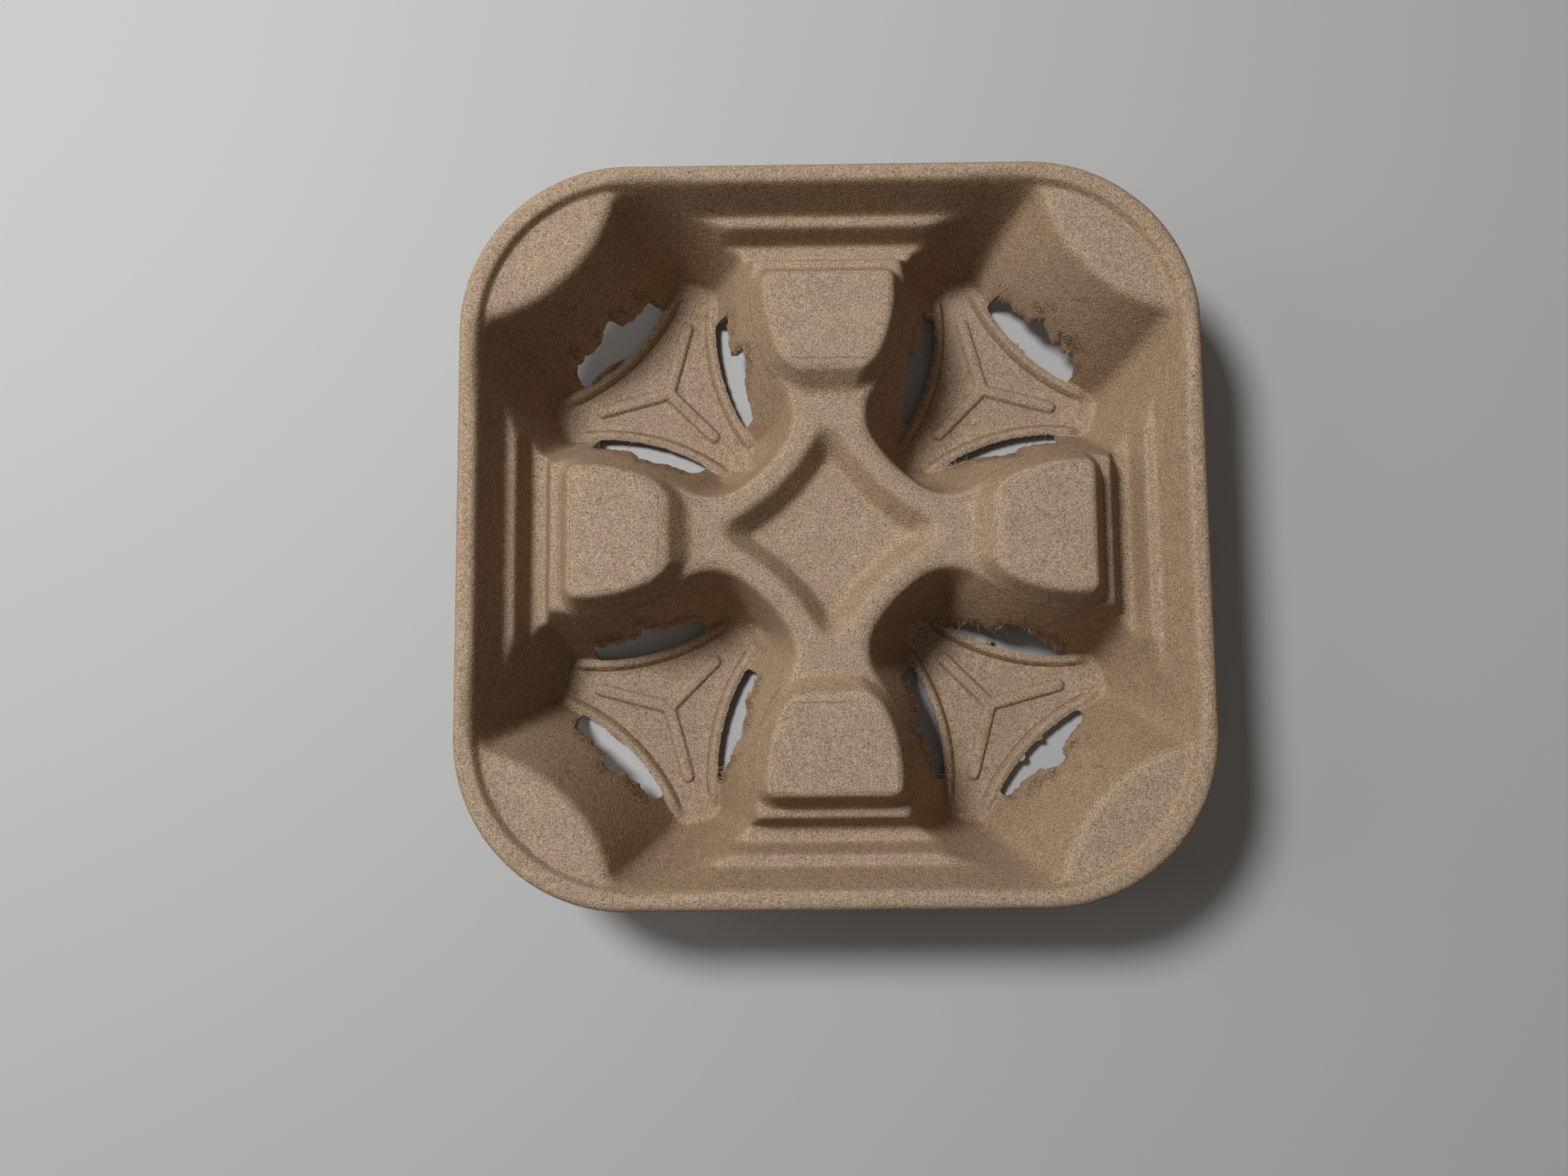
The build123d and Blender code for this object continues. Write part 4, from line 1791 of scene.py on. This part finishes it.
        # Painted shade: the colour darkens and browns from level faces to steep walls.
        normal = graph.node("ShaderNodeTexCoord").outputs["Normal"]
        upright = graph.node("ShaderNodeSeparateXYZ", Vector=normal).outputs[2]
        level = graph.ramp(graph.math("ABSOLUTE", upright), *finish.level_range)
        colour = graph.mix(1.0, colour, graph.mix(level, finish.wall_shade, finish.level_unshaded), "MULTIPLY")
        clear = graph.scaled(patch, *finish.screen_clear)
        imprint = graph.times(self.screen(graph, place), graph.times(level, clear))
        colour = graph.shaded(colour, graph.scaled(imprint, finish.screen_depth, 1.0))
        graph.feed(shader.inputs["Base Color"], colour)
        relief = graph.times(graph.noise(place, finish.lump_noise), finish.lump_relief)
        relief = graph.scaled(grain, finish.grain_relief, relief)
        relief = graph.scaled(imprint, finish.screen_relief, relief)
        relief = graph.scaled(layers, finish.layer_relief, relief)
        relief = graph.scaled(creases, finish.crease_relief, relief)
        depth = finish.bump_distance * METRES
        bump = graph.node("ShaderNodeBump", Strength=finish.bump_strength, Distance=depth, Height=relief)
        graph.feed(shader.inputs["Normal"], bump.outputs[0])
        return material

    def fibres(self) -> Material:
        """Material of the loose fibres: the pulp's colour, made lighter.

        Returns:
            The material.
        """
        material, graph, shader = self.new("loose_fibres")
        raw = self.base(graph, place_in_millimetres(graph)).outputs["Color"]
        pale = graph.mix(self.finish.loose_paleness, raw, self.finish.light_fibre_tone)
        graph.feed(shader.inputs["Base Color"], pale)
        return material


@dataclass(frozen=True)
class Studio:
    """Camera, lights, floor and background: the camera in millimetres, everything else in metres."""

    eye: Triple = (-10.811, -51.408, 389.106)
    ahead: Triple = (-0.00817, 0.09928, -0.99503)
    up: Triple = (0.01089, 0.99501, 0.09919)
    sensor: float = 36.0
    lens: float = 28.32
    clip_start: float = 0.01
    key_place: Triple = (-0.50, 0.36, 0.95)
    key_size: float = 0.26
    key_power: float = 10.65
    side_place: Triple = (-1.3, 0.15, 0.8)
    side_size: float = 0.8
    side_power: float = 3.5
    aim: Triple = (0.0, 0.0, 0.03)
    sky_strength: float = 0.127
    sky_tone: Colour = (1.0, 0.92, 0.83, 1.0)
    backdrop_tone: Colour = (0.72, 0.72, 0.72, 1.0)
    floor_tone: Colour = (0.47, 0.475, 0.48, 1.0)
    floor_roughness: float = 0.7
    floor_size: float = 8.0

    def camera(self) -> Object:
        """The photo's camera, over the tray and a little in front of its middle.

        Returns:
            The camera's object.
        """
        lens = bpy.data.cameras.new("camera")
        lens.sensor_width = self.sensor
        lens.lens = self.lens
        lens.clip_start = self.clip_start
        camera = placed("camera", lens)
        ahead = Vector(self.ahead).normalized()
        right = ahead.cross(Vector(self.up)).normalized()
        turned = Matrix((right, right.cross(ahead), -ahead)).transposed().to_4x4()
        turned.translation = Vector(self.eye) * METRES
        camera.matrix_world = turned
        bpy.context.scene.camera = camera
        return camera

    def lamp(self, name: str, place: Triple, size: float, power: float) -> Object:
        """Round soft light that faces the tray.

        Args:
            name: name of the light.
            place: where it hangs, in metres.
            size: its diameter.
            power: its strength in watts.

        Returns:
            The light's object.
        """
        lamp = bpy.data.lights.new(name, "AREA")
        lamp.shape = "DISK"
        lamp.size = size
        lamp.energy = power
        light = placed(name, lamp)
        light.location = place
        way = Vector(self.aim) - Vector(place)
        light.rotation_euler = way.to_track_quat("-Z", "Y").to_euler()
        return light

    def sky(self) -> None:
        """Even light from all round, with a pale background that only the camera sees."""
        world = bpy.data.worlds.new("studio")
        world.use_nodes = True
        world.node_tree.nodes.clear()
        graph = Graph(world.node_tree)
        seen = graph.node("ShaderNodeLightPath").outputs["Is Camera Ray"]
        light = graph.node("ShaderNodeBackground", Color=self.sky_tone, Strength=self.sky_strength)
        backdrop = graph.node("ShaderNodeBackground", Color=self.backdrop_tone, Strength=1.0)
        both = graph.node("ShaderNodeMixShader", Fac=seen)
        graph.feed(both.inputs[1], light.outputs[0])
        graph.feed(both.inputs[2], backdrop.outputs[0])
        graph.node("ShaderNodeOutputWorld", Surface=both.outputs[0])
        bpy.context.scene.world = world

    def floor(self) -> Object:
        """Plain pale floor under the tray.

        Returns:
            The floor's object.
        """
        half = self.floor_size / 2
        corners = np.array([(-half, -half, 0), (half, -half, 0), (half, half, 0), (-half, half, 0)], float)
        piece = placed("floor", mesh_of("floor", corners, np.array([[0, 1, 2, 3]])))
        material, shader = principled("floor", self.floor_roughness)
        shader.inputs["Base Color"].default_value = self.floor_tone
        piece.data.materials.append(material)
        return piece

    def build(self) -> None:
        """Sets up the whole studio."""
        self.camera()
        self.lamp("key", self.key_place, self.key_size, self.key_power)
        self.lamp("side", self.side_place, self.side_size, self.side_power)
        self.sky()
        self.floor()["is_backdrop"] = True
        bpy.context.scene.view_settings.view_transform = "Standard"


def box_of(pieces: list[Object]) -> list[list[float]]:
    """Lowest and highest corner of the pieces together, in metres."""
    points = np.concatenate([points_of(piece.data) for piece in pieces])
    return [points.min(0).tolist(), points.max(0).tolist()]


def main() -> None:
    """Builds the carrier over its CAD frame, dresses it and sets up the studio."""
    logging.basicConfig(level=logging.INFO, format="%(name)s: %(message)s")
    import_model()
    low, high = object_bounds()
    well = WellForm()
    land = LandForm(half_width=high.x / METRES, crown=high.z / METRES)
    sheet = CarrierSheet(well, land, PadForm(), TornSlots(well))
    materials = PulpMaterials(PulpFinish())
    carrier = sheet.build("carrier_sheet")
    carrier.data.materials.append(materials.sheet())
    fibres = LooseFibres(sheet).build("loose_fibres")
    fibres.data.materials.append(materials.fibres())
    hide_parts("cup_carrier")
    for piece in (carrier, fibres):
        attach(piece, "root")
        log.info("%s: %d faces", piece.name, len(piece.data.polygons))
    Studio().build()
    boxes = {"cad": [list(low), list(high)], "visual": box_of([carrier, fibres])}


if __name__ == "__main__":
    main()
